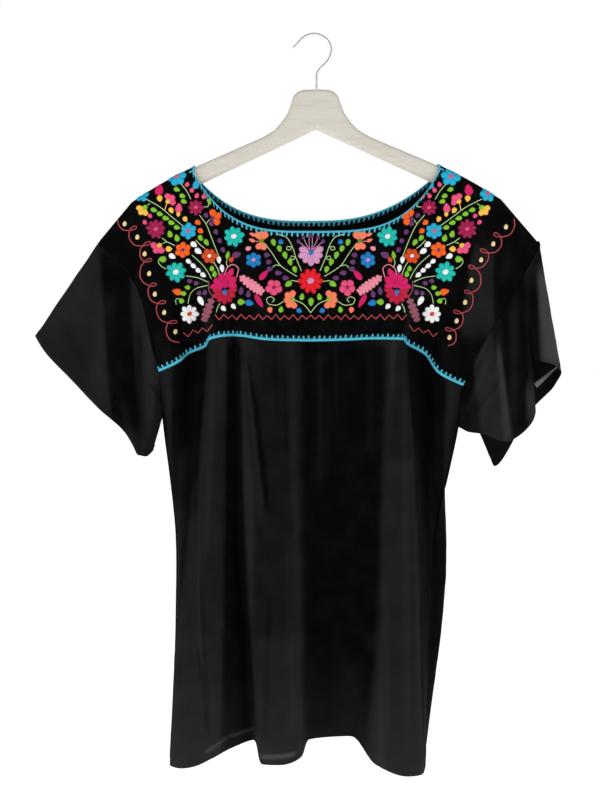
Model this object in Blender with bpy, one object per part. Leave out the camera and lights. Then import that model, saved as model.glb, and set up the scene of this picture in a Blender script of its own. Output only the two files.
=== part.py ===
"""An embroidered yoke blouse hanging on a flat wooden hanger.

The blouse is cut as one yoke with a hole for the head, a gathered front and back panel, and two
wide short sleeves.  Every piece is a thin wall of cloth.  The origin is the inside top of the
hanger's hook, X runs to the viewer's right, the front faces -Y and +Z is up.
"""

import math
from collections import namedtuple

import bpy
from mathutils import Matrix, Vector

MM = 0.001

# Cloth
WALL = 1.2 * MM
SEAM_PULL = 0.2 * MM  # each panel stops this far short of the seam that it shares
SIDE_PULL = 0.35 * MM  # the same at the side seams, where the panels meet at an angle
SLEEVE_PULL = 0.1 * MM  # and of a sleeve, which gives way by its own thickness where it turns
SLEEVE_PULL_LIMIT = 4.0 * MM
UNDERARM_EASE = 1.1 * MM  # a sleeve starts this far outside the panels under the arm
YOKE_ROWS = 9
OVER_STEPS = 6  # faces of the turn over the shoulder
SKIRT_ROWS_BELOW_ARM = 10
SLEEVE_ROWS = 8
UNDERARM = 0.115  # share of the skirt's side edge that is armhole
UNDERARM_SHIFT = 0.1  # how far in it lies, as a share of the way to the waist
WAIST = 0.48  # share of the skirt's length at which the middle section of the tables lies
COLUMN_WIDTH = 10 * MM
SHOULDER_COLUMNS = 3  # columns between two lines where the yoke goes over the shoulder

# Hanger
TILT = math.radians(0.4)  # the hanger's right arm hangs a little higher
HANGER_SHIFT = 1.5 * MM  # and its middle a little to the right of the hook's
WOOD_THICKNESS = 12 * MM
WOOD_ROUNDING = 5 * MM
ARM_STRAIGHT = 130 * MM  # the arm is straight as far as this from the middle
ARM_END = 212 * MM
ARM_START_HEIGHT = -114 * MM
ARM_START = 53 * MM
ARM_SLOPE = 0.43
ARM_END_SLOPE = 0.67
ARM_DEPTH = 23 * MM
ARM_END_DEPTH = 17 * MM
HEAD_BOTTOM = -109 * MM
NOTCH_SLOPE = 0.465
# Each row is a point of the board's head in millimetres, from its top out to the arm.
Edge = namedtuple("Edge", "x z")
HEAD = (
    Edge(0, -62.8),
    Edge(14, -63.2),
    Edge(21, -65.6),
    Edge(26, -71),
    Edge(28.5, -79),
    Edge(32.5, -90),
    Edge(40, -101),
    Edge(48, -109.5),
)
HOOK_INNER_RADIUS = 18.3 * MM
HOOK_WIRE = 1.4 * MM
HOOK_TIP_ANGLE = math.radians(146)
HOOK_TURN_ANGLE = math.radians(-48)
STEM_X = 1.0 * MM

# Neck opening and shoulders, along the hanger
NECK_HALF = 141 * MM
NECK_FRONT_DROP = 73 * MM
NECK_BACK_DROP = 54 * MM
NECK_FRONT_POWER = 3.6
NECK_BACK_POWER_LEFT = 3.1
NECK_BACK_POWER_RIGHT = 2.5
SHOULDER_RADIUS = 8.5 * MM  # middle of the cloth from the arm's middle plane
SHOULDER_GAP = 0.6 * MM
CAP_RADIUS = 13 * MM  # the same at the sleeve seam, past the hanger's end
CAP_SLOPE = 1.2  # of the shoulder line past the hanger's end
SLEEVE_SEAM_LEFT = -248 * MM
SLEEVE_SEAM_RIGHT = 254 * MM
SEAM_BOW_LEFT = 19 * MM  # how far the left sleeve seam bows towards the body
FULLNESS_POWER = 1.3  # how the yoke leaves the hanger's plane on its way down

# Each row is one fold line of the skirt, which the yoke above it follows too: a side, a crest or a
# hollow.  It gives the line's place in millimetres at the yoke's lower seam, at the waist and at
# the hem.  The first and last rows are the sides.
Line = namedtuple("Line", "name seam_x seam_y seam_z waist_x waist_y hem_x hem_y hem_z")
FRONT_LINES = (
    Line("left_side", -175, -22, -386, -158, 6, -162, -6, -829),
    Line("left_outer_fold", -153, -26, -376, -155, -12, -162, -36, -828),
    Line("left_recess_in", -144, -15, -367, -141, -24, -148, -58, -826),
    Line("left_recess_out", -123, -17, -358, -132, -34, -130, -66, -821),
    Line("left_pleat_edge", -116, -38, -351, -125, -50, -112, -68, -812),
    Line("left_lobe", -103, -43, -348, -110, -55, -94, -61, -804),
    Line("left_hollow", -90, -37, -347, -86, -40, -68, -46, -798),
    Line("middle_pleat_edge", -81, -45, -348, -70, -60, -58, -66, -819),
    Line("middle_lobe", -52, -43, -352, -44, -60, -35, -72, -818),
    Line("middle_pleat_end", -21, -44, -353, -18, -54, -14, -62, -812),
    Line("middle_hollow_in", -5, -40, -353, 0, -42, -6, -41, -799),
    Line("middle_hollow_out", 40, -41, -352, 46, -40, 40, -38, -796),
    Line("right_lobe_in", 68, -44, -351, 76, -50, 67, -62, -821),
    Line("right_pleat_edge", 98, -37, -351, 111, -53, 98, -80, -828),
    Line("right_recess_in", 106, -17, -356, 120, -30, 117, -70, -829),
    Line("right_recess_out", 127, -15, -368, 127, -15, 123, -48, -829),
    Line("right_outer_fold", 140, -26, -388, 131, -10, 126, -26, -826),
    Line("right_side", 168, -22, -402, 136, -6, 127, -6, -823),
)
BACK_LINES = (
    Line("left_side", -175, 22, -386, -158, 6, -162, -6, -829),
    Line("left_outer_fold", -155, 26, -376, -158, 22, -165, 14, -828),
    Line("left_recess_in", -143, 19, -367, -150, 34, -160, 34, -827),
    Line("left_recess_out", -128, 22, -358, -138, 42, -148, 50, -824),
    Line("left_pleat_edge", -114, 38, -351, -120, 50, -126, 62, -818),
    Line("left_crest", -90, 43, -350, -94, 54, -96, 70, -814),
    Line("left_hollow", -60, 37, -351, -62, 38, -60, 44, -806),
    Line("middle_crest_left", -30, 43, -351, -30, 56, -26, 72, -812),
    Line("middle_hollow", 2, 38, -352, 2, 40, 6, 44, -804),
    Line("middle_crest_right", 32, 43, -352, 34, 58, 38, 72, -812),
    Line("right_hollow", 60, 37, -351, 66, 40, 68, 48, -806),
    Line("right_crest", 84, 43, -350, 96, 54, 92, 70, -814),
    Line("right_pleat_edge", 104, 38, -351, 120, 48, 108, 60, -819),
    Line("right_recess_out", 117, 22, -358, 136, 38, 120, 46, -824),
    Line("right_recess_in", 131, 19, -370, 148, 24, 127, 30, -827),
    Line("right_outer_fold", 147, 26, -390, 153, 8, 129, 10, -826),
    Line("right_side", 168, 22, -402, 136, -6, 127, -6, -823),
)
SHOULDER_LINES = 4  # the first and the last lines, up to the neck's corner, cross the shoulder

# Each row is a point of a sleeve's cuff in millimetres.  Its share is how far round the armhole
# it belongs, from the shoulder down the front to the underarm at one half and up the back.
Cuff = namedtuple("Cuff", "name share x y z")
LEFT_CUFF = (
    Cuff("top", 0.0, -320, 0, -346),
    Cuff("front_top", 0.05, -307, -15, -364),
    Cuff("front_upper", 0.12, -275, -27, -396),
    Cuff("front_middle", 0.19, -242, -31, -430),
    Cuff("front_lower", 0.24, -213, -29, -457),
    Cuff("front_corner", 0.28, -200, -21, -482),
    Cuff("inner_front", 0.38, -192, -12, -484),
    Cuff("inner", 0.50, -186, 4, -478),
    Cuff("back_corner", 0.66, -199, 20, -478),
    Cuff("back_middle", 0.80, -240, 30, -428),
    Cuff("back_upper", 0.90, -284, 22, -386),
)
RIGHT_CUFF = (
    Cuff("top", 0.0, 284, -4, -389),
    Cuff("front_outer", 0.05, 268, -26, -379),
    Cuff("valley_top", 0.10, 249, -10, -374),
    Cuff("valley_foot", 0.16, 251, -22, -431),
    Cuff("ridge", 0.24, 213, -48, -466),
    Cuff("front_inner", 0.32, 190, -36, -458),
    Cuff("inner_front", 0.41, 175, -17, -456),
    Cuff("inner", 0.50, 170, 0, -453),
    Cuff("inner_back", 0.56, 197, 17, -460),
    Cuff("back_corner", 0.64, 211, 22, -497),
    Cuff("back_middle", 0.80, 252, 24, -434),
    Cuff("back_outer", 0.92, 280, 13, -402),
)

# Trim: a crocheted cord round the neck and a flat crocheted edge along the yoke's lower seam
NECK_CORD_RADIUS = 1.0 * MM
NECK_CORD_LIFT = 0.6 * MM  # the cord lies this far towards the outside of the cloth
EDGE_HEIGHT = 3.4 * MM
EDGE_THICKNESS = 1.2 * MM
TRIM_GAP = 0.3 * MM
EDGE_GAP = 0.5 * MM


def clear_scene():
    for obj in list(bpy.data.objects):
        bpy.data.objects.remove(obj)


def finish_material(name, colour, roughness, metallic=0.0):
    material = bpy.data.materials.new(name)
    material.use_nodes = True
    shader = material.node_tree.nodes["Principled BSDF"]
    shader.inputs["Base Color"].default_value = (*colour, 1.0)
    shader.inputs["Roughness"].default_value = roughness
    shader.inputs["Metallic"].default_value = metallic
    return material


def add_object(name, verts, faces, material):
    mesh = bpy.data.meshes.new(name)
    mesh.from_pydata([tuple(v) for v in verts], [], faces)
    mesh.validate()
    mesh.materials.append(material)
    mesh.shade_smooth()
    obj = bpy.data.objects.new(name, mesh)
    bpy.context.scene.collection.objects.link(obj)
    return obj


def add_wall(obj, thickness):
    """Gives a single sheet its thickness, half to each side."""
    wall = obj.modifiers.new("Wall", "SOLIDIFY")
    wall.thickness = thickness
    wall.offset = 0.0
    wall.use_even_offset = False
    wall.use_quality_normals = True


def knot_slopes(knots, values):
    """Slopes of a smooth curve through the values that never overshoots them."""
    steps = [b - a for a, b in zip(knots, knots[1:])]
    rises = [(b - a) / h for a, b, h in zip(values, values[1:], steps)]
    slopes = [rises[0]]
    for before, after, h0, h1 in zip(rises, rises[1:], steps, steps[1:]):
        if before * after <= 0:
            slopes.append(0.0)
        else:
            w0, w1 = 2 * h1 + h0, h1 + 2 * h0
            slopes.append((w0 + w1) / (w0 / before + w1 / after))
    return slopes + [rises[-1]]


def smooth_value(knots, values, at):
    slopes = knot_slopes(knots, values)
    i = max(0, min(len(knots) - 2, sum(1 for k in knots[1:-1] if k <= at)))
    h = knots[i + 1] - knots[i]
    t = (at - knots[i]) / h
    blend = t * t * (3 - 2 * t)
    return (
        values[i] * (1 - blend)
        + values[i + 1] * blend
        + h * slopes[i] * t * (1 - t) ** 2
        - h * slopes[i + 1] * t * t * (1 - t)
    )


def smooth_points(points, counts, before, after):
    """A smooth curve through the points, each stretch cut into the given count of equal steps.

    The points before and after only steer the curve's two ends.
    """
    every = [before, *points, after]
    knots = [0.0]
    for a, b in zip(every, every[1:]):
        knots.append(knots[-1] + (b - a).length)
    places = [
        knots[i + 1] + (knots[i + 2] - knots[i + 1]) * step / count
        for i, count in enumerate(counts)
        for step in range(count)
    ] + [knots[-2]]
    axes = [[p[axis] for p in every] for axis in range(3)]
    return [Vector([smooth_value(knots, values, at) for values in axes]) for at in places]


def tilted(x, y, z):
    """A point given along the level hanger, turned with it about the hook's inside top."""
    c, s = math.cos(TILT), math.sin(TILT)
    return Vector((x * c - z * s + HANGER_SHIFT, y, x * s + z * c))


def arm_top(x):
    """Height of the wood's upper edge, and past the hanger's end of the cloth that falls from it."""
    x = abs(x)
    height = ARM_START_HEIGHT - ARM_SLOPE * (min(x, ARM_STRAIGHT) - ARM_START)
    bend = max(0.0, min(x, ARM_END) - ARM_STRAIGHT)
    growth = (ARM_END_SLOPE - ARM_SLOPE) / (ARM_END - ARM_STRAIGHT)
    height -= ARM_SLOPE * bend + growth * bend * bend / 2
    return height - CAP_SLOPE * max(0.0, x - ARM_END)


def shoulder_radius(x):
    seam = SLEEVE_SEAM_LEFT if x < 0 else SLEEVE_SEAM_RIGHT
    past = max(0.0, (abs(x) - ARM_END) / (abs(seam) - ARM_END))
    return SHOULDER_RADIUS + (CAP_RADIUS - SHOULDER_RADIUS) * min(past, 1.0)


def shoulder_point(x, angle):
    """The cloth over the arm at x: angle 0 is its front edge, 90 degrees the top, 180 the back."""
    middle = arm_top(x) + SHOULDER_GAP + WALL / 2 - SHOULDER_RADIUS
    return tilted(
        x, -shoulder_radius(x) * math.cos(angle), middle + SHOULDER_RADIUS * math.sin(angle)
    )


def line_at(line, v, is_side):
    """Place of a fold line at share v of the way from the yoke's seam to the hem."""
    z = line.seam_z + (line.hem_z - line.seam_z) * v
    levels = [0.0, WAIST, 1.0]
    xs = [line.seam_x, line.waist_x, line.hem_x]
    ys = [line.seam_y, line.waist_y, line.hem_y]
    if is_side:
        arm_x = line.seam_x + (line.waist_x - line.seam_x) * UNDERARM_SHIFT
        if v < UNDERARM:
            rise = (1 - v / UNDERARM) ** 0.7
            x = arm_x + (line.seam_x - arm_x) * (1 - v / UNDERARM)
            return Vector((x, line.seam_y * rise, z)) * MM
        levels, xs, ys = [UNDERARM, WAIST, 1.0], [arm_x, *xs[1:]], [0.0, *ys[1:]]
    return Vector((smooth_value(levels, xs, v), smooth_value(levels, ys, v), z)) * MM


def level_points(lines, v):
    last = len(lines) - 1
    return [line_at(line, v, i in (0, last)) for i, line in enumerate(lines)]


def section(lines, v):
    """The panel's cross-section at one level, steered at its sides towards the other panel."""
    other = BACK_LINES if lines is FRONT_LINES else FRONT_LINES
    before, after = line_at(other[1], v, False), line_at(other[-2], v, False)
    return smooth_points(level_points(lines, v), column_counts(lines), before, after)


def column_counts(lines):
    """How many columns lie between each line and the next."""
    seam = level_points(lines, 0.0)
    last = len(seam) - 2
    return [
        SHOULDER_COLUMNS
        if i < SHOULDER_LINES or i > last - SHOULDER_LINES
        else max(2, round((b - a).length / COLUMN_WIDTH))
        for i, (a, b) in enumerate(zip(seam, seam[1:]))
    ]


def skirt_levels():
    above = [0.0, UNDERARM / 2, UNDERARM]
    step = (1 - UNDERARM) / SKIRT_ROWS_BELOW_ARM
    return above + [UNDERARM + step * (i + 1) for i in range(SKIRT_ROWS_BELOW_ARM)]


def skirt_rows(lines):
    return [section(lines, v) for v in skirt_levels()]


def yoke_rows(lines, front):
    """The front or back of the yoke, row by row from its top edge to its lower seam."""
    side = -1 if front else 1
    foot = section(lines, 0.0)
    zone = SHOULDER_LINES * SHOULDER_COLUMNS
    last = len(foot) - 1
    drop = NECK_FRONT_DROP if front else NECK_BACK_DROP
    angle = 0.0 if front else math.pi
    neck_left, neck_right = foot[zone].x, foot[last - zone].x
    columns = []
    for j, low in enumerate(foot):
        bow = 0.0
        if j <= zone:
            share = j / zone
            top = shoulder_point(SLEEVE_SEAM_LEFT + (-NECK_HALF - SLEEVE_SEAM_LEFT) * share, angle)
            start = top.z
            bow = SEAM_BOW_LEFT * (1 - share)
        elif j >= last - zone:
            share = (last - j) / zone
            top = shoulder_point(SLEEVE_SEAM_RIGHT + (NECK_HALF - SLEEVE_SEAM_RIGHT) * share, angle)
            start = top.z
        else:
            along = 2 * (low.x - neck_left) / (neck_right - neck_left) - 1
            corner = shoulder_point(along * NECK_HALF, angle)
            edge = shoulder_point(math.copysign(NECK_HALF, along), angle)
            mix = (along + 1) / 2
            power = NECK_BACK_POWER_LEFT if along < 0 else NECK_BACK_POWER_RIGHT
            if front:
                power = NECK_FRONT_POWER
            start = (
                shoulder_point(-NECK_HALF, angle).z * (1 - mix)
                + shoulder_point(NECK_HALF, angle).z * mix
            )
            top = Vector((corner.x, edge.y, start - drop * (1 - abs(along) ** power)))
        column = []
        for i in range(YOKE_ROWS + 1):
            d = i / YOKE_ROWS
            point = top.lerp(low, d)
            hang = ((start - point.z) / (start - low.z)) ** FULLNESS_POWER
            radius = abs(top.y)
            point.y = side * (radius + (abs(low.y) - radius) * hang)
            point.x += bow * 6.75 * d * (1 - d) ** 2
            column.append(point)
        columns.append(column)
    return [[column[i] for column in columns] for i in range(YOKE_ROWS + 1)]


def pulled(edge, inside, pull=SEAM_PULL):
    """Edge points drawn back towards the next row, so that the neighbour's wall stays clear."""
    return [a + (b - a).normalized() * pull for a, b in zip(edge, inside)]


def pull_columns(rows, first, last, pull=SIDE_PULL):
    for row in rows:
        if first:
            row[0] = row[0] + (row[1] - row[0]).normalized() * pull
        if last:
            row[-1] = row[-1] + (row[-2] - row[-1]).normalized() * pull
    return rows


def grid_faces(count_rows, count_columns, start=0):
    return [
        (
            start + i * count_columns + j,
            start + i * count_columns + j + 1,
            start + (i + 1) * count_columns + j + 1,
            start + (i + 1) * count_columns + j,
        )
        for i in range(count_rows - 1)
        for j in range(count_columns - 1)
    ]


def over_columns(left):
    """The cloth's turn over one shoulder: a column of points for each line that crosses it."""
    zone = SHOULDER_LINES * SHOULDER_COLUMNS
    seam = SLEEVE_SEAM_LEFT if left else SLEEVE_SEAM_RIGHT
    neck = -NECK_HALF if left else NECK_HALF
    columns = []
    for j in range(zone + 1):
        share = j / zone if left else 1 - j / zone
        x = seam + (neck - seam) * share
        columns.append([shoulder_point(x, math.pi * k / OVER_STEPS) for k in range(1, OVER_STEPS)])
    return columns


def build_yoke(material):
    """One piece of cloth with a hole for the head, folded over the shoulders."""
    front, back = yoke_rows(FRONT_LINES, True), yoke_rows(BACK_LINES, False)
    for rows in (front, back):
        pull_columns(rows, True, True)
        rows[-1] = pulled(rows[-1], rows[-2])
    turns = []
    for left in (True, False):
        columns = over_columns(left)
        edge, inside = (columns[0], columns[1]) if left else (columns[-1], columns[-2])
        edge[:] = pulled(edge, inside)
        turns.append(columns)
    verts, faces = [], []
    for rows in (front, back):
        start = len(verts)
        verts += [p for row in rows for p in row]
        made = grid_faces(len(rows), len(rows[0]), start)
        faces += made if rows is front else [face[::-1] for face in made]
    back_start = len(front) * len(front[0])
    zone = SHOULDER_LINES * SHOULDER_COLUMNS
    for columns, left in zip(turns, (True, False)):
        front_at = 0 if left else len(front[0]) - 1 - zone
        back_at = back_start + (0 if left else len(back[0]) - 1 - zone)
        start = len(verts)
        verts += [p for column in columns for p in column]
        height = OVER_STEPS - 1

        def index(j, k):
            if k == 0:
                return front_at + j
            if k == OVER_STEPS:
                return back_at + j
            return start + j * height + k - 1

        for j in range(zone):
            for k in range(OVER_STEPS):
                faces.append((index(j, k), index(j, k + 1), index(j + 1, k + 1), index(j + 1, k)))
    obj = add_object("yoke", verts, faces, material)
    add_wall(obj, WALL)
    return obj


def build_skirt(name, lines, material):
    """A gathered panel from the yoke's lower seam to the hem, one row for each level."""
    rows = pull_columns(skirt_rows(lines), True, True)
    rows[0] = pulled(rows[0], rows[1])
    faces = grid_faces(len(rows), len(rows[0]))
    obj = add_object(name, [p for row in rows for p in row], faces, material)
    add_wall(obj, WALL)
    return obj


def armhole(left):
    """The closed armhole, from the shoulder down the front to the underarm and up the back.

    Each of its points comes with the next point of the panel that it edges.
    """
    side, inner = (0, 1) if left else (-1, -2)
    half = OVER_STEPS // 2
    arm_rows = 2
    front_rows = yoke_rows(FRONT_LINES, True) + skirt_rows(FRONT_LINES)[1 : arm_rows + 1]
    back_rows = yoke_rows(BACK_LINES, False) + skirt_rows(BACK_LINES)[1:arm_rows]
    front = [(row[side], row[inner]) for row in front_rows]
    back = [(row[side], row[inner]) for row in back_rows]
    columns = over_columns(left)
    crown = list(zip(columns[side], columns[inner]))
    return crown[half - 1 :: -1] + front + back[::-1] + crown[: half - 1 : -1]


def cuff_points(table, shares):
    """Points of the cuff at the given shares of the armhole, on a smooth closed curve."""
    wrap = 3
    rows = [(r.share - 1, r) for r in table[-wrap:]]
    rows += [(r.share, r) for r in table] + [(r.share + 1, r) for r in table[:wrap]]
    knots = [share for share, _ in rows]
    axes = [[getattr(r, axis) for _, r in rows] for axis in "xyz"]
    return [Vector([smooth_value(knots, values, s) for values in axes]) * MM for s in shares]


def armhole_shares(loop):
    """How far round the armhole each point is; the underarm is at one half."""
    ring = loop + loop[:1]
    lowest = min(range(len(loop)), key=lambda i: loop[i].z)
    lengths = [(b - a).length for a, b in zip(ring, ring[1:])]
    front, back = sum(lengths[:lowest]), sum(lengths[lowest:])
    shares, run = [], 0.0
    for i, length in enumerate(lengths):
        shares.append(0.5 * run / front if i <= lowest else 0.5 + 0.5 * (run - front) / back)
        run += length
    return shares


def build_sleeve(name, table, left, material):
    pairs = armhole(left)
    loop = [edge for edge, _ in pairs]
    around = len(loop)
    shares = armhole_shares(loop)
    cuff = cuff_points(table, shares)
    starts = []
    for j, (edge, inside) in enumerate(pairs):
        seam = (loop[(j + 1) % around] - loop[j - 1]).normalized()
        run, panel = cuff[j] - edge, inside - edge
        run = (run - seam * run.dot(seam)).normalized()
        panel = (panel - seam * panel.dot(seam)).normalized()
        bend = math.acos(max(-1.0, min(1.0, -run.dot(panel))))
        pull = SLEEVE_PULL + WALL * math.tan(min(bend, 3.0) / 2)
        ease = UNDERARM_EASE * max(0.0, min(1.0, 2.0 - abs(shares[j] - 0.5) / 0.08))
        outward = Vector((-ease if left else ease, 0, 0))
        starts.append(edge + run * min(pull, SLEEVE_PULL_LIMIT) + outward)
    rows = [
        [a.lerp(c, i / SLEEVE_ROWS) for a, c in zip(starts, cuff)] for i in range(SLEEVE_ROWS + 1)
    ]
    faces = [
        (
            i * around + j,
            i * around + (j + 1) % around,
            (i + 1) * around + (j + 1) % around,
            (i + 1) * around + j,
        )
        for i in range(len(rows) - 1)
        for j in range(around)
    ]
    obj = add_object(name, [p for row in rows for p in row], faces, material)
    add_wall(obj, WALL)
    return obj


def neck_edge():
    """The closed edge of the neck opening, with the direction out of the cloth at each point."""
    front, back = yoke_rows(FRONT_LINES, True), yoke_rows(BACK_LINES, False)
    zone = SHOULDER_LINES * SHOULDER_COLUMNS
    front_top = [(a, b) for a, b in zip(front[0], front[1])][zone : len(front[0]) - zone]
    back_top = [(a, b) for a, b in zip(back[0], back[1])][zone : len(back[0]) - zone]
    right, left = over_columns(False), over_columns(True)
    pairs = front_top + list(zip(right[0], right[1]))
    pairs += back_top[::-1] + list(zip(left[-1], left[-2]))[::-1]
    return pairs


def add_tube(name, centres, outs, radius, sides, closed, material):
    """A round cord or wire along the centres; outs are directions square to its run."""
    verts, faces = [], []
    count = len(centres)
    for i, (centre, out) in enumerate(zip(centres, outs)):
        before = centres[i - 1] if closed or i else centre
        after = centres[(i + 1) % count] if closed or i < count - 1 else centre
        up = (after - before).normalized().cross(out).normalized()
        for k in range(sides):
            a = 2 * math.pi * (k + 0.5) / sides
            verts.append(centre + (out * math.cos(a) + up * math.sin(a)) * radius)
    for i in range(count if closed else count - 1):
        a, b = i * sides, ((i + 1) % count) * sides
        for k in range(sides):
            faces.append((a + k, a + (k + 1) % sides, b + (k + 1) % sides, b + k))
    if not closed:
        last = (count - 1) * sides
        faces += [tuple(range(sides - 1, -1, -1)), tuple(range(last, last + sides))]
    return add_object(name, verts, faces, material)


def build_neck_cord(material):
    """A crocheted cord along the neck's edge, just clear of the cloth."""
    pairs = neck_edge()
    centres, outs = [], []
    for i, (edge, inside) in enumerate(pairs):
        along = (pairs[(i + 1) % len(pairs)][0] - pairs[i - 1][0]).normalized()
        out = edge - inside
        out = (out - along * out.dot(along)).normalized()
        lift = along.cross(out).normalized() * NECK_CORD_LIFT
        centres.append(edge + out * (NECK_CORD_RADIUS + TRIM_GAP) + lift)
        outs.append(out)
    return add_tube("neck_cord", centres, outs, NECK_CORD_RADIUS, 6, True, material)


def build_yoke_edge(name, lines, front, material):
    """The flat crocheted edge over the yoke's lower seam: the seam's points, moved out."""
    yoke, skirt = yoke_rows(lines, front), skirt_rows(lines)
    seam, above, below = yoke[-1], yoke[-2], skirt[1]
    lift = WALL / 2 + EDGE_GAP + EDGE_THICKNESS / 2
    side = -1 if front else 1
    rows = [[], []]
    for j in range(1, len(seam) - 1):
        down = (below[j] - above[j]).normalized()
        normals = [
            (b - a).cross(down).normalized() * side
            for a, b in ((seam[j - 1], seam[j]), (seam[j], seam[j + 1]))
        ]
        normal = (normals[0] + normals[1]).normalized()
        middle = seam[j] + normal * lift / max(0.6, normal.dot(normals[0]))
        rows[0].append(middle - down * EDGE_HEIGHT / 2)
        rows[1].append(middle + down * EDGE_HEIGHT / 2)
    faces = grid_faces(2, len(rows[0]))
    obj = add_object(name, rows[0] + rows[1], faces, material)
    add_wall(obj, EDGE_THICKNESS)
    return obj


def hanger_outline():
    """Half of the board's outline, from the top of its head out along the arm and back below."""
    upper = [Vector((p.x, 0, p.z)) * MM for p in HEAD]
    step = 12 * MM
    x = ARM_START + 9 * MM
    while x < ARM_END - 10 * MM:
        upper.append(Vector((x, 0, arm_top(x))))
        x += step
    top_end = arm_top(ARM_END)
    tip = [
        Vector((ARM_END - 4 * MM, 0, top_end)),
        Vector((ARM_END, 0, top_end - 6 * MM)),
        Vector((ARM_END, 0, top_end - ARM_END_DEPTH + 5 * MM)),
        Vector((ARM_END - 5 * MM, 0, top_end - ARM_END_DEPTH)),
    ]
    lower = []
    x = ARM_END - 18 * MM
    while x > 10 * MM:
        share = (x - ARM_START) / (ARM_END - ARM_START)
        depth = ARM_DEPTH + (ARM_END_DEPTH - ARM_DEPTH) * max(0.0, share)
        notch = HEAD_BOTTOM - NOTCH_SLOPE * x
        lower.append(Vector((x, 0, min(notch, arm_top(x) - depth if x > 2 * ARM_START else notch))))
        x -= 2 * step
    return upper + tip + lower + [Vector((0, 0, HEAD_BOTTOM))]


def build_hanger(material):
    half = hanger_outline()
    outline = half + [Vector((-p.x, 0, p.z)) for p in half[-2:0:-1]]
    points = [tilted(p.x, 0, p.z) for p in outline]
    count = len(points)
    shift = Vector((0, WOOD_THICKNESS / 2, 0))
    verts = [p - shift for p in points] + [p + shift for p in points]
    faces = [tuple(range(count - 1, -1, -1)), tuple(range(count, 2 * count))]
    faces += [(i, (i + 1) % count, (i + 1) % count + count, i + count) for i in range(count)]
    obj = add_object("hanger", verts, faces, material)
    edge = obj.modifiers.new("Rounded edge", "BEVEL")
    edge.width = WOOD_ROUNDING
    edge.segments = 3
    edge.limit_method = "ANGLE"
    edge.angle_limit = math.radians(60)
    return obj


def hook_line():
    """Middle of the wire: a round over the rail, then a swan neck down to the wood."""
    radius = HOOK_INNER_RADIUS + HOOK_WIRE
    centre = Vector((0, 0, -HOOK_INNER_RADIUS))
    arc_steps = 22
    line = []
    for i in range(arc_steps + 1):
        a = HOOK_TIP_ANGLE + (HOOK_TURN_ANGLE - HOOK_TIP_ANGLE) * i / arc_steps
        line.append(centre + Vector((math.cos(a), 0, math.sin(a))) * radius)
    tip = line[0] + Vector((-7.0, 0, -7.5)) * MM
    start = line[-1]
    heading = Vector((math.sin(HOOK_TURN_ANGLE), 0, -math.cos(HOOK_TURN_ANGLE)))
    foot = tilted(STEM_X, 0, -52 * MM)
    wood = tilted(STEM_X, 0, -62 * MM + 0.3 * MM)
    pull = 13 * MM
    steps = 7
    for i in range(1, steps + 1):
        t = i / steps
        a, b = start + heading * pull, foot + Vector((0, 0, pull * 0.7))
        line.append(
            start * (1 - t) ** 3 + a * 3 * t * (1 - t) ** 2 + b * 3 * t * t * (1 - t) + foot * t**3
        )
    return [tip] + line + [wood]


def build_hook(material):
    points = hook_line()
    outs = [Vector((0, 1, 0))] * len(points)
    return add_tube("hook", points, outs, HOOK_WIRE, 10, False, material)


def main():
    clear_scene()
    cloth = finish_material("black_cotton", (0.012, 0.012, 0.013), 0.85)
    thread = finish_material("turquoise_thread", (0.02, 0.42, 0.60), 0.6)
    wood = finish_material("pale_wood", (0.66, 0.62, 0.56), 0.5)
    steel = finish_material("steel", (0.62, 0.62, 0.60), 0.25, 1.0)
    build_yoke(cloth)
    build_skirt("front_panel", FRONT_LINES, cloth)
    build_skirt("back_panel", BACK_LINES, cloth)
    build_sleeve("left_sleeve", LEFT_CUFF, True, cloth)
    build_sleeve("right_sleeve", RIGHT_CUFF, False, cloth)
    build_neck_cord(thread)
    build_yoke_edge("front_yoke_edge", FRONT_LINES, True, thread)
    build_yoke_edge("back_yoke_edge", BACK_LINES, False, thread)
    build_hanger(wood)
    build_hook(steel)


main()
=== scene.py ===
import math
from collections import defaultdict, namedtuple

import bpy
import numpy as np
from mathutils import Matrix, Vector
from mathutils.bvhtree import BVHTree


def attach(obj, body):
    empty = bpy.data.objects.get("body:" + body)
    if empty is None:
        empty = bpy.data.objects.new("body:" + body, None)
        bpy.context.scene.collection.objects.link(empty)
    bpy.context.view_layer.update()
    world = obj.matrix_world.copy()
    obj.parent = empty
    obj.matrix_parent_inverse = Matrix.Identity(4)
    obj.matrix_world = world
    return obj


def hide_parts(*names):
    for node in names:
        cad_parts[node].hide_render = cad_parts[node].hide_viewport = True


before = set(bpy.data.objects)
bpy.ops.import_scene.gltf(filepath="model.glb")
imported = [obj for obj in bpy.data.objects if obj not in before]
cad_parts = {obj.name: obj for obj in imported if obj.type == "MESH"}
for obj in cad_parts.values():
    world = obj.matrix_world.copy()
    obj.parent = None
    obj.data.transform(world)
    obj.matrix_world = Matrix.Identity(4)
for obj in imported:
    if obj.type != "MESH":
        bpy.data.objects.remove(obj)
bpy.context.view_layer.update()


# Studio
# The blouse hangs free in front of a white surround, with a pale floor well below it.  Two broad
# soft lights stand at its sides and a weaker one in front, so that the folds show.
MM = 0.001
CAMERA_AT = np.array((-16.1, -1400.0, -419.75))  # mm; level, 1.4 m in front of the hanger
PIXEL = 1.15  # mm that one pixel of the 600 by 800 picture covers at the hanger
PICTURE_MIDDLE = (300.0, 400.0)
PICTURE_HEIGHT = 800

camera_data = bpy.data.cameras.new("camera")
camera_data.lens = camera_data.sensor_width * -CAMERA_AT[1] / (PIXEL * PICTURE_HEIGHT)
camera = bpy.data.objects.new("camera", camera_data)
bpy.context.scene.collection.objects.link(camera)
camera.location = CAMERA_AT * MM
camera.rotation_euler = (math.pi / 2, 0, 0)
bpy.context.scene.camera = camera
bpy.context.scene.view_settings.view_transform = "Standard"

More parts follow.
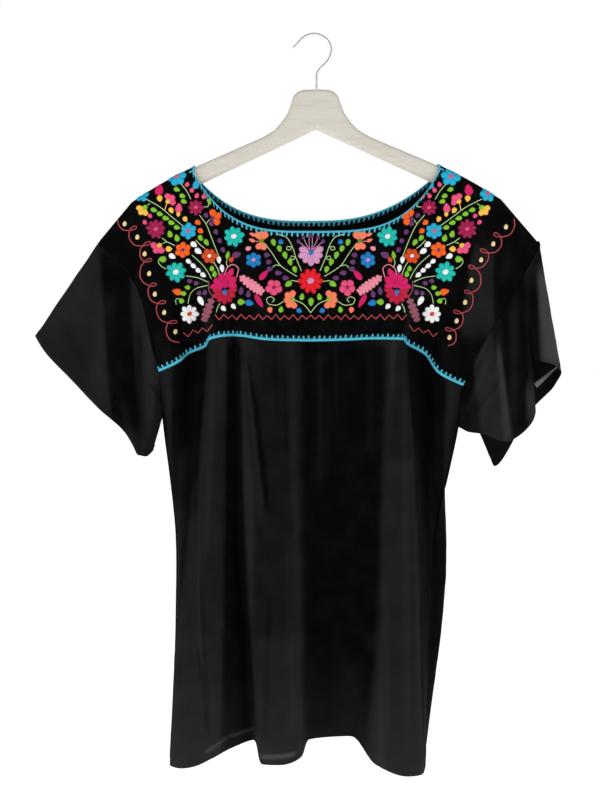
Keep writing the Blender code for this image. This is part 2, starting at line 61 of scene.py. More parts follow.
world = bpy.data.worlds.new("studio")
bpy.context.scene.world = world
world.use_nodes = True
surround = world.node_tree.nodes["Background"]
surround.inputs["Color"].default_value = (1, 1, 1, 1)
seen = world.node_tree.nodes.new("ShaderNodeLightPath")
glow = world.node_tree.nodes.new("ShaderNodeMapRange")  # white to the eye, dimmer as a light
glow.inputs["To Min"].default_value = 0.2
glow.inputs["To Max"].default_value = 1.0
world.node_tree.links.new(seen.outputs["Is Camera Ray"], glow.inputs["Value"])
world.node_tree.links.new(glow.outputs["Result"], surround.inputs["Strength"])

SoftBox = namedtuple("SoftBox", "name x y z width height watts")
BLOUSE_MIDDLE = Vector((0, 0, -0.45))
for box in (
    SoftBox("left_softbox", -1.4, -0.8, -0.2, 0.9, 1.6, 13),
    SoftBox("right_softbox", 1.4, -0.8, -0.2, 0.9, 1.6, 11),
    SoftBox("top_softbox", 0.0, -0.8, 1.3, 1.6, 0.8, 7.5),
):
    light = bpy.data.lights.new(box.name, "AREA")
    light.shape = "RECTANGLE"
    light.size, light.size_y, light.energy = box.width, box.height, box.watts
    lamp = bpy.data.objects.new(box.name, light)
    bpy.context.scene.collection.objects.link(lamp)
    lamp.location = (box.x, box.y, box.z)
    lamp.rotation_euler = (BLOUSE_MIDDLE - lamp.location).to_track_quat("-Z", "Y").to_euler()

FLOOR_HEIGHT, FLOOR_REACH = -1.25, 40
floor_corners = [
    (x * FLOOR_REACH, y * FLOOR_REACH, FLOOR_HEIGHT) for x, y in ((-1, -1), (1, -1), (1, 1), (-1, 1))
]
floor_mesh = bpy.data.meshes.new("floor")
floor_mesh.from_pydata(floor_corners, [], [(0, 1, 2, 3)])
floor = bpy.data.objects.new("floor", floor_mesh)
bpy.context.scene.collection.objects.link(floor)
floor_paint = bpy.data.materials.new("floor_paint")
floor_paint.use_nodes = True
floor_shader = floor_paint.node_tree.nodes["Principled BSDF"]
floor_shader.inputs["Base Color"].default_value = (0.95, 0.95, 0.95, 1)
floor_shader.inputs["Roughness"].default_value = 0.9
floor_shader.inputs["Emission Color"].default_value = (1, 1, 1, 1)
floor_shader.inputs["Emission Strength"].default_value = 0.86
floor_mesh.materials.append(floor_paint)


# Yoke
# One piece of fine, limp black cotton with a hole for the head, folded over both shoulders.  Its
# front lower seam steps up and down where the panel's folds tuck in.  It rests on the hanger.
CLOTH = 0.5 * MM
FINE = 4  # columns of cloth for each column of the solid
YOKE_ROWS = 64
OVER_STEPS = 18  # steps of the turn over a shoulder
WAIST = 0.48  # share of the way from the yoke's seam to the hem
UNDERARM = 0.115  # the same, where the armhole ends and the side seam starts
UNDERARM_SHIFT = 0.1
COLUMN_WIDTH = 10  # mm, about, between two columns of the solid
SHOULDER_COLUMNS = 3  # columns of the solid between two fold lines under a shoulder
SHOULDER_LINES = 4  # fold lines under a shoulder
SHOULDER_ZONE = SHOULDER_LINES * SHOULDER_COLUMNS * FINE

# The hanger's arms and the cloth over them, in mm from the hanger's middle
TILT = math.radians(0.4)
HANGER_SHIFT = 1.5
ARM_START, ARM_STRAIGHT, ARM_END = 53, 130, 212
ARM_START_HEIGHT = -114
ARM_SLOPE, ARM_END_SLOPE, CAP_SLOPE = 0.43, 0.67, 1.2
SHOULDER_RADIUS = 8.5
CAP_RADIUS = 13
SHOULDER_GAP = 0.6
SOLID_WALL = 1.2

# The neck hole and the sleeve seams, in mm
NECK_HALF = 141
NECK_FRONT_DROP, NECK_BACK_DROP = 70, 54
NECK_FRONT_POWER, NECK_BACK_POWER_LEFT, NECK_BACK_POWER_RIGHT = 3.6, 3.1, 2.5
SLEEVE_SEAM_LEFT, SLEEVE_SEAM_RIGHT = -248, 254
SEAM_BOW_LEFT = 19
BOW_PEAK = 4 / 27  # the highest value of the curve that shapes the bow
FULLNESS_POWER = 1.3

# Each row is a fold line of the panel: its place in mm at the yoke's seam, the waist and the hem.
Line = namedtuple("Line", "name seam_x seam_y seam_z waist_x waist_y hem_x hem_y hem_z")
FRONT_LINES = (
    Line("left_side", -175, -22, -386, -158, 6, -162, -6, -829),
    Line("left_outer_fold", -153, -26, -376, -155, -12, -162, -36, -828),
    Line("left_recess_in", -144, -15, -367, -141, -24, -148, -58, -826),
    Line("left_recess_out", -123, -17, -358, -132, -34, -130, -66, -821),
    Line("left_pleat_edge", -116, -38, -351, -125, -50, -112, -68, -812),
    Line("left_lobe", -103, -43, -348, -110, -55, -94, -61, -804),
    Line("left_hollow", -90, -37, -347, -86, -40, -68, -46, -798),
    Line("middle_pleat_edge", -81, -45, -348, -70, -60, -58, -66, -819),
    Line("middle_lobe", -52, -43, -352, -44, -60, -35, -72, -818),
    Line("middle_pleat_end", -21, -44, -353, -18, -54, -14, -62, -812),
    Line("middle_hollow_in", -5, -40, -353, 0, -42, -6, -41, -799),
    Line("middle_hollow_out", 40, -41, -352, 46, -40, 40, -38, -796),
    Line("right_lobe_in", 68, -44, -351, 76, -50, 67, -62, -821),
    Line("right_pleat_edge", 98, -37, -351, 111, -53, 98, -80, -828),
    Line("right_recess_in", 106, -17, -356, 120, -30, 117, -70, -829),
    Line("right_recess_out", 127, -15, -368, 127, -15, 123, -48, -829),
    Line("right_outer_fold", 140, -26, -388, 131, -10, 126, -26, -826),
    Line("right_side", 168, -22, -402, 136, -6, 127, -6, -823),
)
BACK_LINES = (
    Line("left_side", -175, 22, -386, -158, 6, -162, -6, -829),
    Line("left_outer_fold", -155, 26, -376, -158, 22, -165, 14, -828),
    Line("left_recess_in", -143, 19, -367, -150, 34, -160, 34, -827),
    Line("left_recess_out", -128, 22, -358, -138, 42, -148, 50, -824),
    Line("left_pleat_edge", -114, 38, -351, -120, 50, -126, 62, -818),
    Line("left_crest", -90, 43, -350, -94, 54, -96, 70, -814),
    Line("left_hollow", -60, 37, -351, -62, 38, -60, 44, -806),
    Line("middle_crest_left", -30, 43, -351, -30, 56, -26, 72, -812),
    Line("middle_hollow", 2, 38, -352, 2, 40, 6, 44, -804),
    Line("middle_crest_right", 32, 43, -352, 34, 58, 38, 72, -812),
    Line("right_hollow", 60, 37, -351, 66, 40, 68, 48, -806),
    Line("right_crest", 84, 43, -350, 96, 54, 92, 70, -814),
    Line("right_pleat_edge", 104, 38, -351, 120, 48, 108, 60, -819),
    Line("right_recess_out", 117, 22, -358, 136, 38, 120, 46, -824),
    Line("right_recess_in", 131, 19, -370, 148, 24, 127, 30, -827),
    Line("right_outer_fold", 147, 26, -390, 153, 8, 129, 10, -826),
    Line("right_side", 168, 22, -402, 136, -6, 127, -6, -823),
)


def smooth(knots, values, at):
    """A smooth curve through the values, which never overshoots them, read at each place."""
    knots, values, at = (np.asarray(a, float) for a in (knots, values, at))
    step = np.diff(knots)
    rise = np.diff(values, axis=0) / step[:, None]
    slope = np.empty_like(values)
    slope[0], slope[-1] = rise[0], rise[-1]
    w0 = (2 * step[1:] + step[:-1])[:, None]
    w1 = (step[1:] + 2 * step[:-1])[:, None]
    same = rise[:-1] * rise[1:] > 0
    a, b = np.where(same, rise[:-1], 1.0), np.where(same, rise[1:], 1.0)
    slope[1:-1] = np.where(same, (w0 + w1) / (w0 / a + w1 / b), 0.0)
    i = np.clip(np.searchsorted(knots[1:-1], at, side="right"), 0, len(knots) - 2)
    t = ((at - knots[i]) / step[i])[:, None]
    h = step[i][:, None]
    blend = t * t * (3 - 2 * t)
    ends = values[i] * (1 - blend) + values[i + 1] * blend
    return ends + h * (slope[i] * t * (1 - t) ** 2 - slope[i + 1] * t * t * (1 - t))


def line_at(line, v, is_side):
    z = line.seam_z + (line.hem_z - line.seam_z) * v
    levels = [0.0, WAIST, 1.0]
    places = [(line.seam_x, line.seam_y), (line.waist_x, line.waist_y), (line.hem_x, line.hem_y)]
    if is_side:
        arm_x = line.seam_x + (line.waist_x - line.seam_x) * UNDERARM_SHIFT
        if v < UNDERARM:
            left = 1 - v / UNDERARM
            return np.array((arm_x + (line.seam_x - arm_x) * left, line.seam_y * left**0.7, z))
        levels[0], places[0] = UNDERARM, (arm_x, 0.0)
    return np.array((*smooth(levels, places, [v])[0], z))


def column_counts(lines):
    seam = [line_at(line, 0.0, False) for line in lines]
    last = len(seam) - 2
    counts = [
        SHOULDER_COLUMNS
        if i < SHOULDER_LINES or i > last - SHOULDER_LINES
        else max(2, round(float(np.linalg.norm(b - a)) / COLUMN_WIDTH))
        for i, (a, b) in enumerate(zip(seam, seam[1:]))
    ]
    return [count * FINE for count in counts]


def section(lines, v):
    """The panel's cross-section at share v of the way from the seam to the hem."""
    other = BACK_LINES if lines is FRONT_LINES else FRONT_LINES
    last = len(lines) - 1
    points = [line_at(other[1], v, False)]
    points += [line_at(line, v, i in (0, last)) for i, line in enumerate(lines)]
    points.append(line_at(other[-2], v, False))
    points = np.array(points)
    knots = np.concatenate(([0.0], np.cumsum(np.linalg.norm(np.diff(points, axis=0), axis=1))))
    places = [
        knots[i + 1] + (knots[i + 2] - knots[i + 1]) * step / count
        for i, count in enumerate(column_counts(lines))
        for step in range(count)
    ] + [knots[-2]]
    return smooth(knots, points, places)


def arm_top(x):
    x = abs(x)
    height = ARM_START_HEIGHT - ARM_SLOPE * (min(x, ARM_STRAIGHT) - ARM_START)
    bend = max(0.0, min(x, ARM_END) - ARM_STRAIGHT)
    growth = (ARM_END_SLOPE - ARM_SLOPE) / (ARM_END - ARM_STRAIGHT)
    height -= ARM_SLOPE * bend + growth * bend * bend / 2
    return height - CAP_SLOPE * max(0.0, x - ARM_END)


def tilted(x, y, z):
    c, s = math.cos(TILT), math.sin(TILT)
    return np.array((x * c - z * s + HANGER_SHIFT, y, x * s + z * c))


def shoulder_point(x, angle):
    """The cloth over the arm: angle 0 is its front edge, 90 degrees the top and 180 the back."""
    seam = SLEEVE_SEAM_LEFT if x < 0 else SLEEVE_SEAM_RIGHT
    past = min(1.0, max(0.0, (abs(x) - ARM_END) / (abs(seam) - ARM_END)))
    radius = SHOULDER_RADIUS + (CAP_RADIUS - SHOULDER_RADIUS) * past
    middle = arm_top(x) + SHOULDER_GAP + SOLID_WALL / 2 - SHOULDER_RADIUS
    return tilted(x, -radius * math.cos(angle), middle + SHOULDER_RADIUS * math.sin(angle))


def yoke_grid(lines, front):
    """The front or back of the yoke, row by row from its top edge to its lower seam."""
    side = -1 if front else 1
    foot = section(lines, 0.0)
    last = len(foot) - 1
    drop = NECK_FRONT_DROP if front else NECK_BACK_DROP
    angle = 0.0 if front else math.pi
    neck_left, neck_right = foot[SHOULDER_ZONE][0], foot[last - SHOULDER_ZONE][0]
    down = np.linspace(0, 1, YOKE_ROWS + 1)
    columns = []
    for j, low in enumerate(foot):
        bow = 0.0
        if j <= SHOULDER_ZONE:
            share = j / SHOULDER_ZONE
            top = shoulder_point(SLEEVE_SEAM_LEFT + (-NECK_HALF - SLEEVE_SEAM_LEFT) * share, angle)
            start = top[2]
            bow = SEAM_BOW_LEFT * (1 - share)
        elif j >= last - SHOULDER_ZONE:
            share = (last - j) / SHOULDER_ZONE
            top = shoulder_point(SLEEVE_SEAM_RIGHT + (NECK_HALF - SLEEVE_SEAM_RIGHT) * share, angle)
            start = top[2]
        else:
            along = 2 * (low[0] - neck_left) / (neck_right - neck_left) - 1
            mix = (along + 1) / 2
            back_power = NECK_BACK_POWER_LEFT if along < 0 else NECK_BACK_POWER_RIGHT
            power = NECK_FRONT_POWER if front else back_power
            left, right = shoulder_point(-NECK_HALF, angle), shoulder_point(NECK_HALF, angle)
            start = left[2] * (1 - mix) + right[2] * mix
            x = shoulder_point(along * NECK_HALF, angle)[0]
            top = np.array((x, left[1], start - drop * (1 - abs(along) ** power)))
        column = top + (low - top) * down[:, None]
        hang = ((start - column[:, 2]) / (start - low[2])) ** FULLNESS_POWER
        column[:, 1] = side * (abs(top[1]) + (abs(low[1]) - abs(top[1])) * hang)
        column[:, 0] += bow * down * (1 - down) ** 2 / BOW_PEAK
        columns.append(column)
    return np.array(columns).transpose(1, 0, 2)


def over_grid(left):
    """The cloth's turn over one shoulder, column by column from front to back."""
    seam = SLEEVE_SEAM_LEFT if left else SLEEVE_SEAM_RIGHT
    neck = -NECK_HALF if left else NECK_HALF
    shares = np.linspace(0, 1, SHOULDER_ZONE + 1)[::1 if left else -1]
    angles = [math.pi * k / OVER_STEPS for k in range(OVER_STEPS + 1)]
    return np.array([[shoulder_point(seam + (neck - seam) * s, a) for a in angles] for s in shares])


def lengths_along(grid, axis):
    """Running length in metres along the rows or columns of a grid, for the weave."""
    step = np.linalg.norm(np.diff(grid, axis=axis), axis=2)
    zero = np.zeros_like(step[:1] if axis == 0 else step[:, :1])
    return np.cumsum(np.concatenate((zero, step), axis=axis), axis=axis) * MM


def grid_normals(grid, closed=False):
    """Normals of a grid of points, out of the side that its rows and columns turn to."""
    if closed:
        across = np.roll(grid, -1, axis=1) - np.roll(grid, 1, axis=1)
    else:
        across = np.gradient(grid, axis=1)
    down = np.gradient(grid, axis=0)
    normal = np.cross(across, down)
    return normal / np.maximum(np.linalg.norm(normal, axis=2, keepdims=True), 1e-9)


def lattice_noise(x, y, seed):
    """Smooth unevenness between -1 and 1 over a plane."""
    table = np.random.default_rng(seed).uniform(-1, 1, (64, 64))
    xi, yi = np.floor(x).astype(int), np.floor(y).astype(int)
    fx, fy = x - xi, y - yi
    fx, fy = fx * fx * (3 - 2 * fx), fy * fy * (3 - 2 * fy)

    def cell(a, b):
        return table[(xi + a) % 64, (yi + b) % 64]

    low = cell(0, 0) * (1 - fx) + cell(1, 0) * fx
    high = cell(0, 1) * (1 - fx) + cell(1, 1) * fx
    return low * (1 - fy) + high * fy


# Each row is one soft crease: where it starts and ends in mm on the photo's plane, its half
# width and its height out of the cloth, all in mm.  A negative height is a trough.
Crease = namedtuple("Crease", "x0 z0 x1 z1 width height")
CREASE_FADE = 0.22  # share of a crease's length over which each end fades out
CREASE_START = 0.3  # how much of its height is there at the very end


def crease_height(x, z, creases):
    total = np.zeros_like(x)
    for c in creases:
        run = np.array((c.x1 - c.x0, c.z1 - c.z0), float)
        length = np.linalg.norm(run)
        run /= length
        along = (x - c.x0) * run[0] + (z - c.z0) * run[1]
        aside = (x - c.x0) * run[1] - (z - c.z0) * run[0]
        fade = max(2 * c.width, CREASE_FADE * length)
        ends = np.clip(CREASE_START + along / fade, 0, 1)
        ends = ends * np.clip(CREASE_START + (length - along) / fade, 0, 1)
        ends = ends * ends * (3 - 2 * ends)
        total += c.height * ends * np.exp(-((aside / c.width) ** 2))
    return total


def weave_group():
    """Fine plain weave: over-and-under threads, uneven in thickness and in how they took the dye.

    The "folds" map says how far the cloth stands out: there its black is painted lighter towards the
    faded colour as painted light, and low in the folds it stays black as painted shade.
    """
    group = bpy.data.node_groups.new("plain_weave", "ShaderNodeTree")
    face = group.interface
    for name, kind, value in (
        ("Threads per metre", "NodeSocketFloat", 2200.0),
        ("Cloth colour", "NodeSocketColor", (0.004, 0.004, 0.005, 1)),
        ("Faded colour", "NodeSocketColor", (0.012, 0.012, 0.014, 1)),
        ("Base roughness", "NodeSocketFloat", 0.8),
    ):
        face.new_socket(name, in_out="INPUT", socket_type=kind).default_value = value
    face.new_socket("Colour", in_out="OUTPUT", socket_type="NodeSocketColor")
    face.new_socket("Roughness", in_out="OUTPUT", socket_type="NodeSocketFloat")
    face.new_socket("Height", in_out="OUTPUT", socket_type="NodeSocketFloat")
    nodes, link = group.nodes, group.links.new
    given, out = nodes.new("NodeGroupInput"), nodes.new("NodeGroupOutput")
    where = nodes.new("ShaderNodeUVMap")
    where.uv_map = "weave"
    scaled = nodes.new("ShaderNodeVectorMath")
    scaled.operation = "SCALE"
    link(where.outputs["UV"], scaled.inputs[0])
    link(given.outputs["Threads per metre"], scaled.inputs["Scale"])
    threads = []
    for direction in ("X", "Y"):
        wave = nodes.new("ShaderNodeTexWave")
        wave.bands_direction = direction
        wave.inputs["Scale"].default_value = 0.5
        wave.inputs["Distortion"].default_value = 1.2
        wave.inputs["Detail"].default_value = 1.0
        wave.inputs["Detail Scale"].default_value = 0.6
        link(scaled.outputs["Vector"], wave.inputs["Vector"])
        threads.append(wave.outputs["Fac"])
    cross = nodes.new("ShaderNodeMath")
    cross.operation = "MULTIPLY"
    link(threads[0], cross.inputs[0])
    link(threads[1], cross.inputs[1])
    blotch = nodes.new("ShaderNodeTexNoise")
    blotch.inputs["Scale"].default_value = 38.0
    blotch.inputs["Detail"].default_value = 5.0
    link(where.outputs["UV"], blotch.inputs["Vector"])
    slub = nodes.new("ShaderNodeTexNoise")
    slub.inputs["Scale"].default_value = 900.0
    slub.inputs["Detail"].default_value = 2.0
    link(where.outputs["UV"], slub.inputs["Vector"])
    total = nodes.new("ShaderNodeMath")
    total.operation = "MULTIPLY_ADD"
    total.inputs[1].default_value = 0.5
    link(blotch.outputs["Fac"], total.inputs[0])
    link(slub.outputs["Fac"], total.inputs[2])
    stand = nodes.new("ShaderNodeUVMap")
    stand.uv_map = "folds"
    apart = nodes.new("ShaderNodeSeparateXYZ")
    link(stand.outputs["UV"], apart.inputs[0])
    # Painted light: the folds map lifts the black towards the faded and lit colour; the dye's random
    # unevenness adds to it.
    tone_share = nodes.new("ShaderNodeMath")
    tone_share.operation = "MULTIPLY_ADD"
    tone_share.inputs[1].default_value = 0.85
    link(apart.outputs["X"], tone_share.inputs[0])
    link(total.outputs[0], tone_share.inputs[2])
    faded_and_lit = nodes.new("ShaderNodeMapRange")
    faded_and_lit.inputs["From Min"].default_value = 0.72
    faded_and_lit.inputs["From Max"].default_value = 4.32
    faded_and_lit.inputs["To Max"].default_value = 4.0
    link(tone_share.outputs[0], faded_and_lit.inputs["Value"])
    colour = nodes.new("ShaderNodeMix")
    colour.data_type = "RGBA"
    colour.clamp_factor = False
    link(faded_and_lit.outputs["Result"], colour.inputs["Factor"])
    link(given.outputs["Cloth colour"], colour.inputs["A"])
    link(given.outputs["Faded colour"], colour.inputs["B"])
    link(colour.outputs["Result"], out.inputs["Colour"])
    rough = nodes.new("ShaderNodeMath")
    rough.operation = "MULTIPLY_ADD"
    rough.inputs[1].default_value = 0.15
    link(blotch.outputs["Fac"], rough.inputs[0])
    link(given.outputs["Base roughness"], rough.inputs[2])
    link(rough.outputs[0], out.inputs["Roughness"])
    height = nodes.new("ShaderNodeMath")
    height.operation = "MULTIPLY_ADD"
    height.inputs[1].default_value = 0.5
    link(slub.outputs["Fac"], height.inputs[0])
    link(cross.outputs[0], height.inputs[2])
    link(height.outputs[0], out.inputs["Height"])
    return group


PLAIN_WEAVE = weave_group()


def cloth_material(name, colour, faded_and_lit, roughness, sheen, threads, depth):
    material = bpy.data.materials.new(name)
    material.use_nodes = True
    nodes, link = material.node_tree.nodes, material.node_tree.links.new
    shader = nodes["Principled BSDF"]
    weave = nodes.new("ShaderNodeGroup")
    weave.node_tree = PLAIN_WEAVE
    weave.inputs["Threads per metre"].default_value = threads
    weave.inputs["Cloth colour"].default_value = (*colour, 1)
    weave.inputs["Faded colour"].default_value = (*faded_and_lit, 1)
    weave.inputs["Base roughness"].default_value = roughness
    link(weave.outputs["Colour"], shader.inputs["Base Color"])
    link(weave.outputs["Roughness"], shader.inputs["Roughness"])
    bump = nodes.new("ShaderNodeBump")
    bump.inputs["Strength"].default_value = 0.5
    bump.inputs["Distance"].default_value = depth
    link(weave.outputs["Height"], bump.inputs["Height"])
    link(bump.outputs["Normal"], shader.inputs["Normal"])
    shader.inputs["Specular IOR Level"].default_value = 0.035
    shader.inputs["Sheen Weight"].default_value = sheen
    shader.inputs["Sheen Roughness"].default_value = 0.5
    shader.inputs["Sheen Tint"].default_value = (0.75, 0.78, 0.85, 1)
    return material


# The faded and lit colour is the black where the painted light is strongest, with some real fading.
BLACK_COTTON = cloth_material(
    "black_cotton_cloth", colour=(0.0003, 0.0003, 0.0005), faded_and_lit=(0.0175, 0.0170, 0.0180),
    roughness=0.8, sheen=0.006, threads=2400, depth=0.00012,
)


def new_piece(name, verts, faces, material, weave_uv, folds):
    """A smooth mesh with its two maps: "weave" is the place on the flat cloth or along the thread,
    in metres, and "folds" the cloth's share of painted light and shade or a thread's share of its
    full height, which sets the floss's painted shade.
    """
    mesh = bpy.data.meshes.new(name)
    mesh.from_pydata([tuple(v) for v in verts], [], faces)
    corner = np.empty(len(mesh.loops), int)
    mesh.loops.foreach_get("vertex_index", corner)
    folds = np.asarray(folds, "f").ravel()
    for title, uv in (("weave", np.asarray(weave_uv, "f")), ("folds", np.stack((folds, folds), axis=-1))):
        layer = mesh.uv_layers.new(name=title)
        layer.uv.foreach_set("vector", uv[corner].ravel())
    mesh.materials.append(material)
    mesh.shade_smooth()
    piece = bpy.data.objects.new(name, mesh)
    bpy.context.scene.collection.objects.link(piece)
    return piece


def thicken(piece, thickness):
    """Gives a sheet its two sides and its edges."""
    wall = piece.modifiers.new("Cloth", "SOLIDIFY")
    wall.thickness = thickness
    wall.offset = 0.0
    wall.use_even_offset = False


def grid_faces(rows, columns, start=0, turn=False):
    i, j = np.meshgrid(np.arange(rows - 1), np.arange(columns - 1), indexing="ij")
    a = start + i * columns + j
    faces = np.stack((a, a + 1, a + columns + 1, a + columns), axis=-1).reshape(-1, 4)
    return (faces[:, ::-1] if turn else faces).tolist()


# The cloth's own unevenness runs in long ripples: their size in mm across, towards and down.
BROAD_RIPPLE, FINE_RIPPLE = (17, 23, 41), (7, 9, 13)
FINE_SHARE = 0.45
SIDE_FADE = 5  # columns


def wrinkled(grid, creases, seed, ripple, closed=False, fade_rows=6):
    """Adds the creases and a slight unevenness, which fade out next to the sewn edges."""
    out = grid_normals(grid, closed)
    x, y, z = grid[..., 0], grid[..., 1], grid[..., 2]
    height = crease_height(x, z, creases)
    for (across, towards, down), share, own_seed in (
        (BROAD_RIPPLE, 1.0, seed),
        (FINE_RIPPLE, FINE_SHARE, seed + 1),
    ):
        height += ripple * share * lattice_noise(x / across + y / towards, z / down, own_seed)
    height *= np.clip(np.arange(len(grid)) / fade_rows, 0, 1)[:, None]
    if not closed:
        columns = np.arange(grid.shape[1])
        height *= np.clip(np.minimum(columns, columns[::-1]) / SIDE_FADE, 0, 1)
    return grid + out * height[..., None]


# Painted light and shade: the cloth is painted lighter where it stands out and kept black deep in its
# folds as painted shade.  Each row is one strip down the cloth in mm: its middle and width at two
# heights, and its share of painted light.
Tone = namedtuple("Tone", "x0 z0 width0 x1 z1 width1 level")
TONE_SOFTNESS, TONE_SPREAD = 2.8, 0.13  # how soft a strip's side is: mm, and share of its width
TONE_END = 26  # mm over which a strip fades out at its ends
CREASE_PAINTED_LIGHT = 0.16  # painted light for each mm that a crease stands out
FRONT_LIMIT, FRONT_BLEND = 8.4, 14  # mm behind the hanger where strips end, and their fade


def painted_light_map(grid, base, tones, creases, glints=(), facing=False):
    """The cloth's share of painted light and shade at each point; with facing, strips lie on the front
    side only.
    """
    x, z = grid[..., 0], grid[..., 2]
    share = np.broadcast_to(base, x.shape)
    for t in tones:
        along = (z - t.z0) / (t.z1 - t.z0)
        width = t.width0 + (t.width1 - t.width0) * np.clip(along, 0, 1)
        aside = np.abs(x - t.x0 - (t.x1 - t.x0) * np.clip(along, 0, 1))
        within = np.clip((width / 2 - aside) / (TONE_SOFTNESS + TONE_SPREAD * width) + 0.5, 0, 1)
        for end in (along, 1 - along):
            within = within * np.clip(end * abs(t.z1 - t.z0) / TONE_END + 0.5, 0, 1)
        share = share + (t.level - share) * within * within * (3 - 2 * within)
    share = share + CREASE_PAINTED_LIGHT * crease_height(x, z, creases)
    if facing:
        share = base + (share - base) * np.clip((FRONT_LIMIT - grid[..., 1]) / FRONT_BLEND, 0, 1)
    return np.maximum(share + crease_height(x, z, glints), 0)


YOKE_RIPPLE = 0.30  # mm
YOKE_PAINTED_LIGHT = 0.02
YOKE_CREASES = (
    Crease(-118, -348, -128, -262, 5, 1.6),
    Crease(-140, -360, -150, -280, 6, -1.4),
    Crease(104, -350, 118, -262, 5, 1.6),
    Crease(124, -362, 138, -280, 6, -1.5),
    Crease(-60, -348, -64, -300, 7, 0.8),
    Crease(40, -350, 42, -300, 8, -0.7),
    Crease(-230, -250, -196, -330, 6, -0.8),
    Crease(225, -255, 196, -320, 6, 0.8),
)
# Painted light and shade on the yoke: a lighter patch on its right and darker strips.
YOKE_TONES = (
    Tone(194, -245, 25, 184, -347, 38, 0.6),
    Tone(214, -234, 16, 209, -307, 11, 0.0),
    Tone(-176, -341, 18, -165, -377, 16, 0.15),
)


def build_yoke():
    fronts, backs = yoke_grid(FRONT_LINES, front=True), yoke_grid(BACK_LINES, front=False)
    front_seam, back_seam = fronts[-1], backs[-1]
    fronts = wrinkled(fronts, YOKE_CREASES, 3, YOKE_RIPPLE, fade_rows=10)
    backs = 2 * backs - wrinkled(backs, YOKE_CREASES, 5, YOKE_RIPPLE, fade_rows=10)
    fronts[-1], backs[-1] = front_seam, back_seam
    verts, faces, uv = [], [], []
    starts = (0, fronts.shape[0] * fronts.shape[1])
    for grid, start, turn in ((fronts, starts[0], False), (backs, starts[1], True)):
        faces += grid_faces(*grid.shape[:2], start, turn)
        verts.append(grid.reshape(-1, 3))
        across = lengths_along(grid, 1)
        across -= across[:, across.shape[1] // 2][:, None]
        uv.append(np.stack((across, lengths_along(grid, 0)), axis=-1).reshape(-1, 2))
    places = np.arange(SHOULDER_ZONE + 1)
    for left in (True, False):
        over = over_grid(left)
        inner = over[:, 1:-1]
        start = sum(len(part) for part in verts)
        ring = np.empty(over.shape[:2], int)
        for edge, grid, grid_start in ((0, fronts, starts[0]), (-1, backs, starts[1])):
            ring[:, edge] = grid_start + places + (0 if left else grid.shape[1] - 1 - SHOULDER_ZONE)
        ring[:, 1:-1] = start + np.arange(inner.shape[0] * inner.shape[1]).reshape(inner.shape[:2])
        quads = np.stack((ring[:-1, :-1], ring[:-1, 1:], ring[1:, 1:], ring[1:, :-1]), axis=-1)
        faces += quads.reshape(-1, 4).tolist()
        verts.append(inner.reshape(-1, 3))
        flat = np.stack((inner[..., 0] * MM, lengths_along(over, 1)[:, 1:-1]), axis=-1)
        uv.append(flat.reshape(-1, 2))
    verts = np.concatenate(verts)
    # Painted light and shade on the yoke's front side.
    lightness = painted_light_map(verts, YOKE_PAINTED_LIGHT, YOKE_TONES, YOKE_CREASES, facing=True)
    piece = new_piece("embroidered_yoke", verts * MM, faces, BLACK_COTTON, np.concatenate(uv), lightness)
    thicken(piece, CLOTH)
    return piece


yoke = build_yoke()
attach(yoke, "root")
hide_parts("yoke")


# Gathered panels
# The same cotton, gathered into the yoke's lower seam at the front and at the back.  The panels
# fall in soft folds to a narrow turned-up hem, and are sewn to each other down the sides.
SKIRT_ROWS = 190
UNDERARM_ROWS = 24  # of them beside the armhole
PANEL_RIPPLE = 0.45  # mm
SEAM_GAP = 0.15  # mm
SEAM_LAP, SEAM_DEPTH = 2.5, 0.8  # mm that a seam's inner edge reaches past it, and lies inside
HEM_DEPTH = 9.0  # mm
TURNED_RISE, TURNED_EDGE = 0.45, 1.6  # mm that the doubled cloth stands out, and over what width
STITCH_LINE = 2.2  # mm below the upper end of the doubled cloth
FOLD_REACH = 26  # columns on each side over which a fold is compared with the cloth beside it
FOLD_BASE, FOLD_DEPTH = 0.40, 13  # painted light of level cloth, and the mm that change it wholly
SEAM_PAINTED_LIGHT, PAINTED_LIGHT_GROWTH = 0.85, 0.3  # share of the painted light at the yoke's seam, and its growth below: painted lighter towards the hem
HEM_PAINTED_LIGHT, HEM_PAINTED_LIGHT_FROM = 2.0, 0.78  # further painted light close to the hem, where light comes through the cloth, and where it starts
FRONT_CREASES = (
    Crease(-127, -375, -134, -560, 5, -2.2),
    Crease(-112, -365, -122, -600, 4, 1.8),
    Crease(-92, -420, -88, -700, 8, -2.4),
    Crease(-79, -362, -57, -545, 3.5, 2.4),
    Crease(-72, -368, -52, -540, 3, -2.0),
    Crease(-30, -366, -30, -480, 3, -1.2),
    Crease(-28, -560, -24, -790, 6, 1.4),
    Crease(-50, -640, -54, -790, 3, -1.3),
    Crease(4, -362, 6, -520, 4, 1.0),
    Crease(14, -362, 12, -470, 3, -0.9),
    Crease(38, -362, 44, -620, 6, -1.1),
    Crease(62, -362, 62, -480, 3, 0.9),
    Crease(79, -620, 80, -800, 2.5, 1.2),
    Crease(100, -365, 102, -800, 4, 1.2),
    Crease(108, -365, 118, -560, 4, -1.8),
    Crease(-131, -690, -117, -785, 2.5, -1.4),
    Crease(-127, -604, -117, -787, 2.5, -1.3),
    Crease(-150, -470, -158, -700, 6, 1.6),
    Crease(128, -420, 132, -700, 4, -1.6),
    Crease(-104, -356, -106, -430, 2.6, 1.2),
    Crease(-86, -354, -84, -415, 2.6, -1.3),
    Crease(-64, -356, -60, -420, 2.6, 1.2),
    Crease(-44, -358, -42, -440, 2.8, -1.1),
    Crease(-17, -358, -16, -425, 2.6, 1.0),
    Crease(-8, -358, -8, -470, 2.6, -1.2),
    Crease(23, -358, 25, -430, 2.6, 1.0),
    Crease(30, -358, 31, -480, 2.6, -1.3),
    Crease(50, -358, 52, -420, 2.6, -1.0),
    Crease(70, -357, 73, -450, 2.8, -1.2),
    Crease(86, -356, 90, -430, 2.6, 1.1),
)
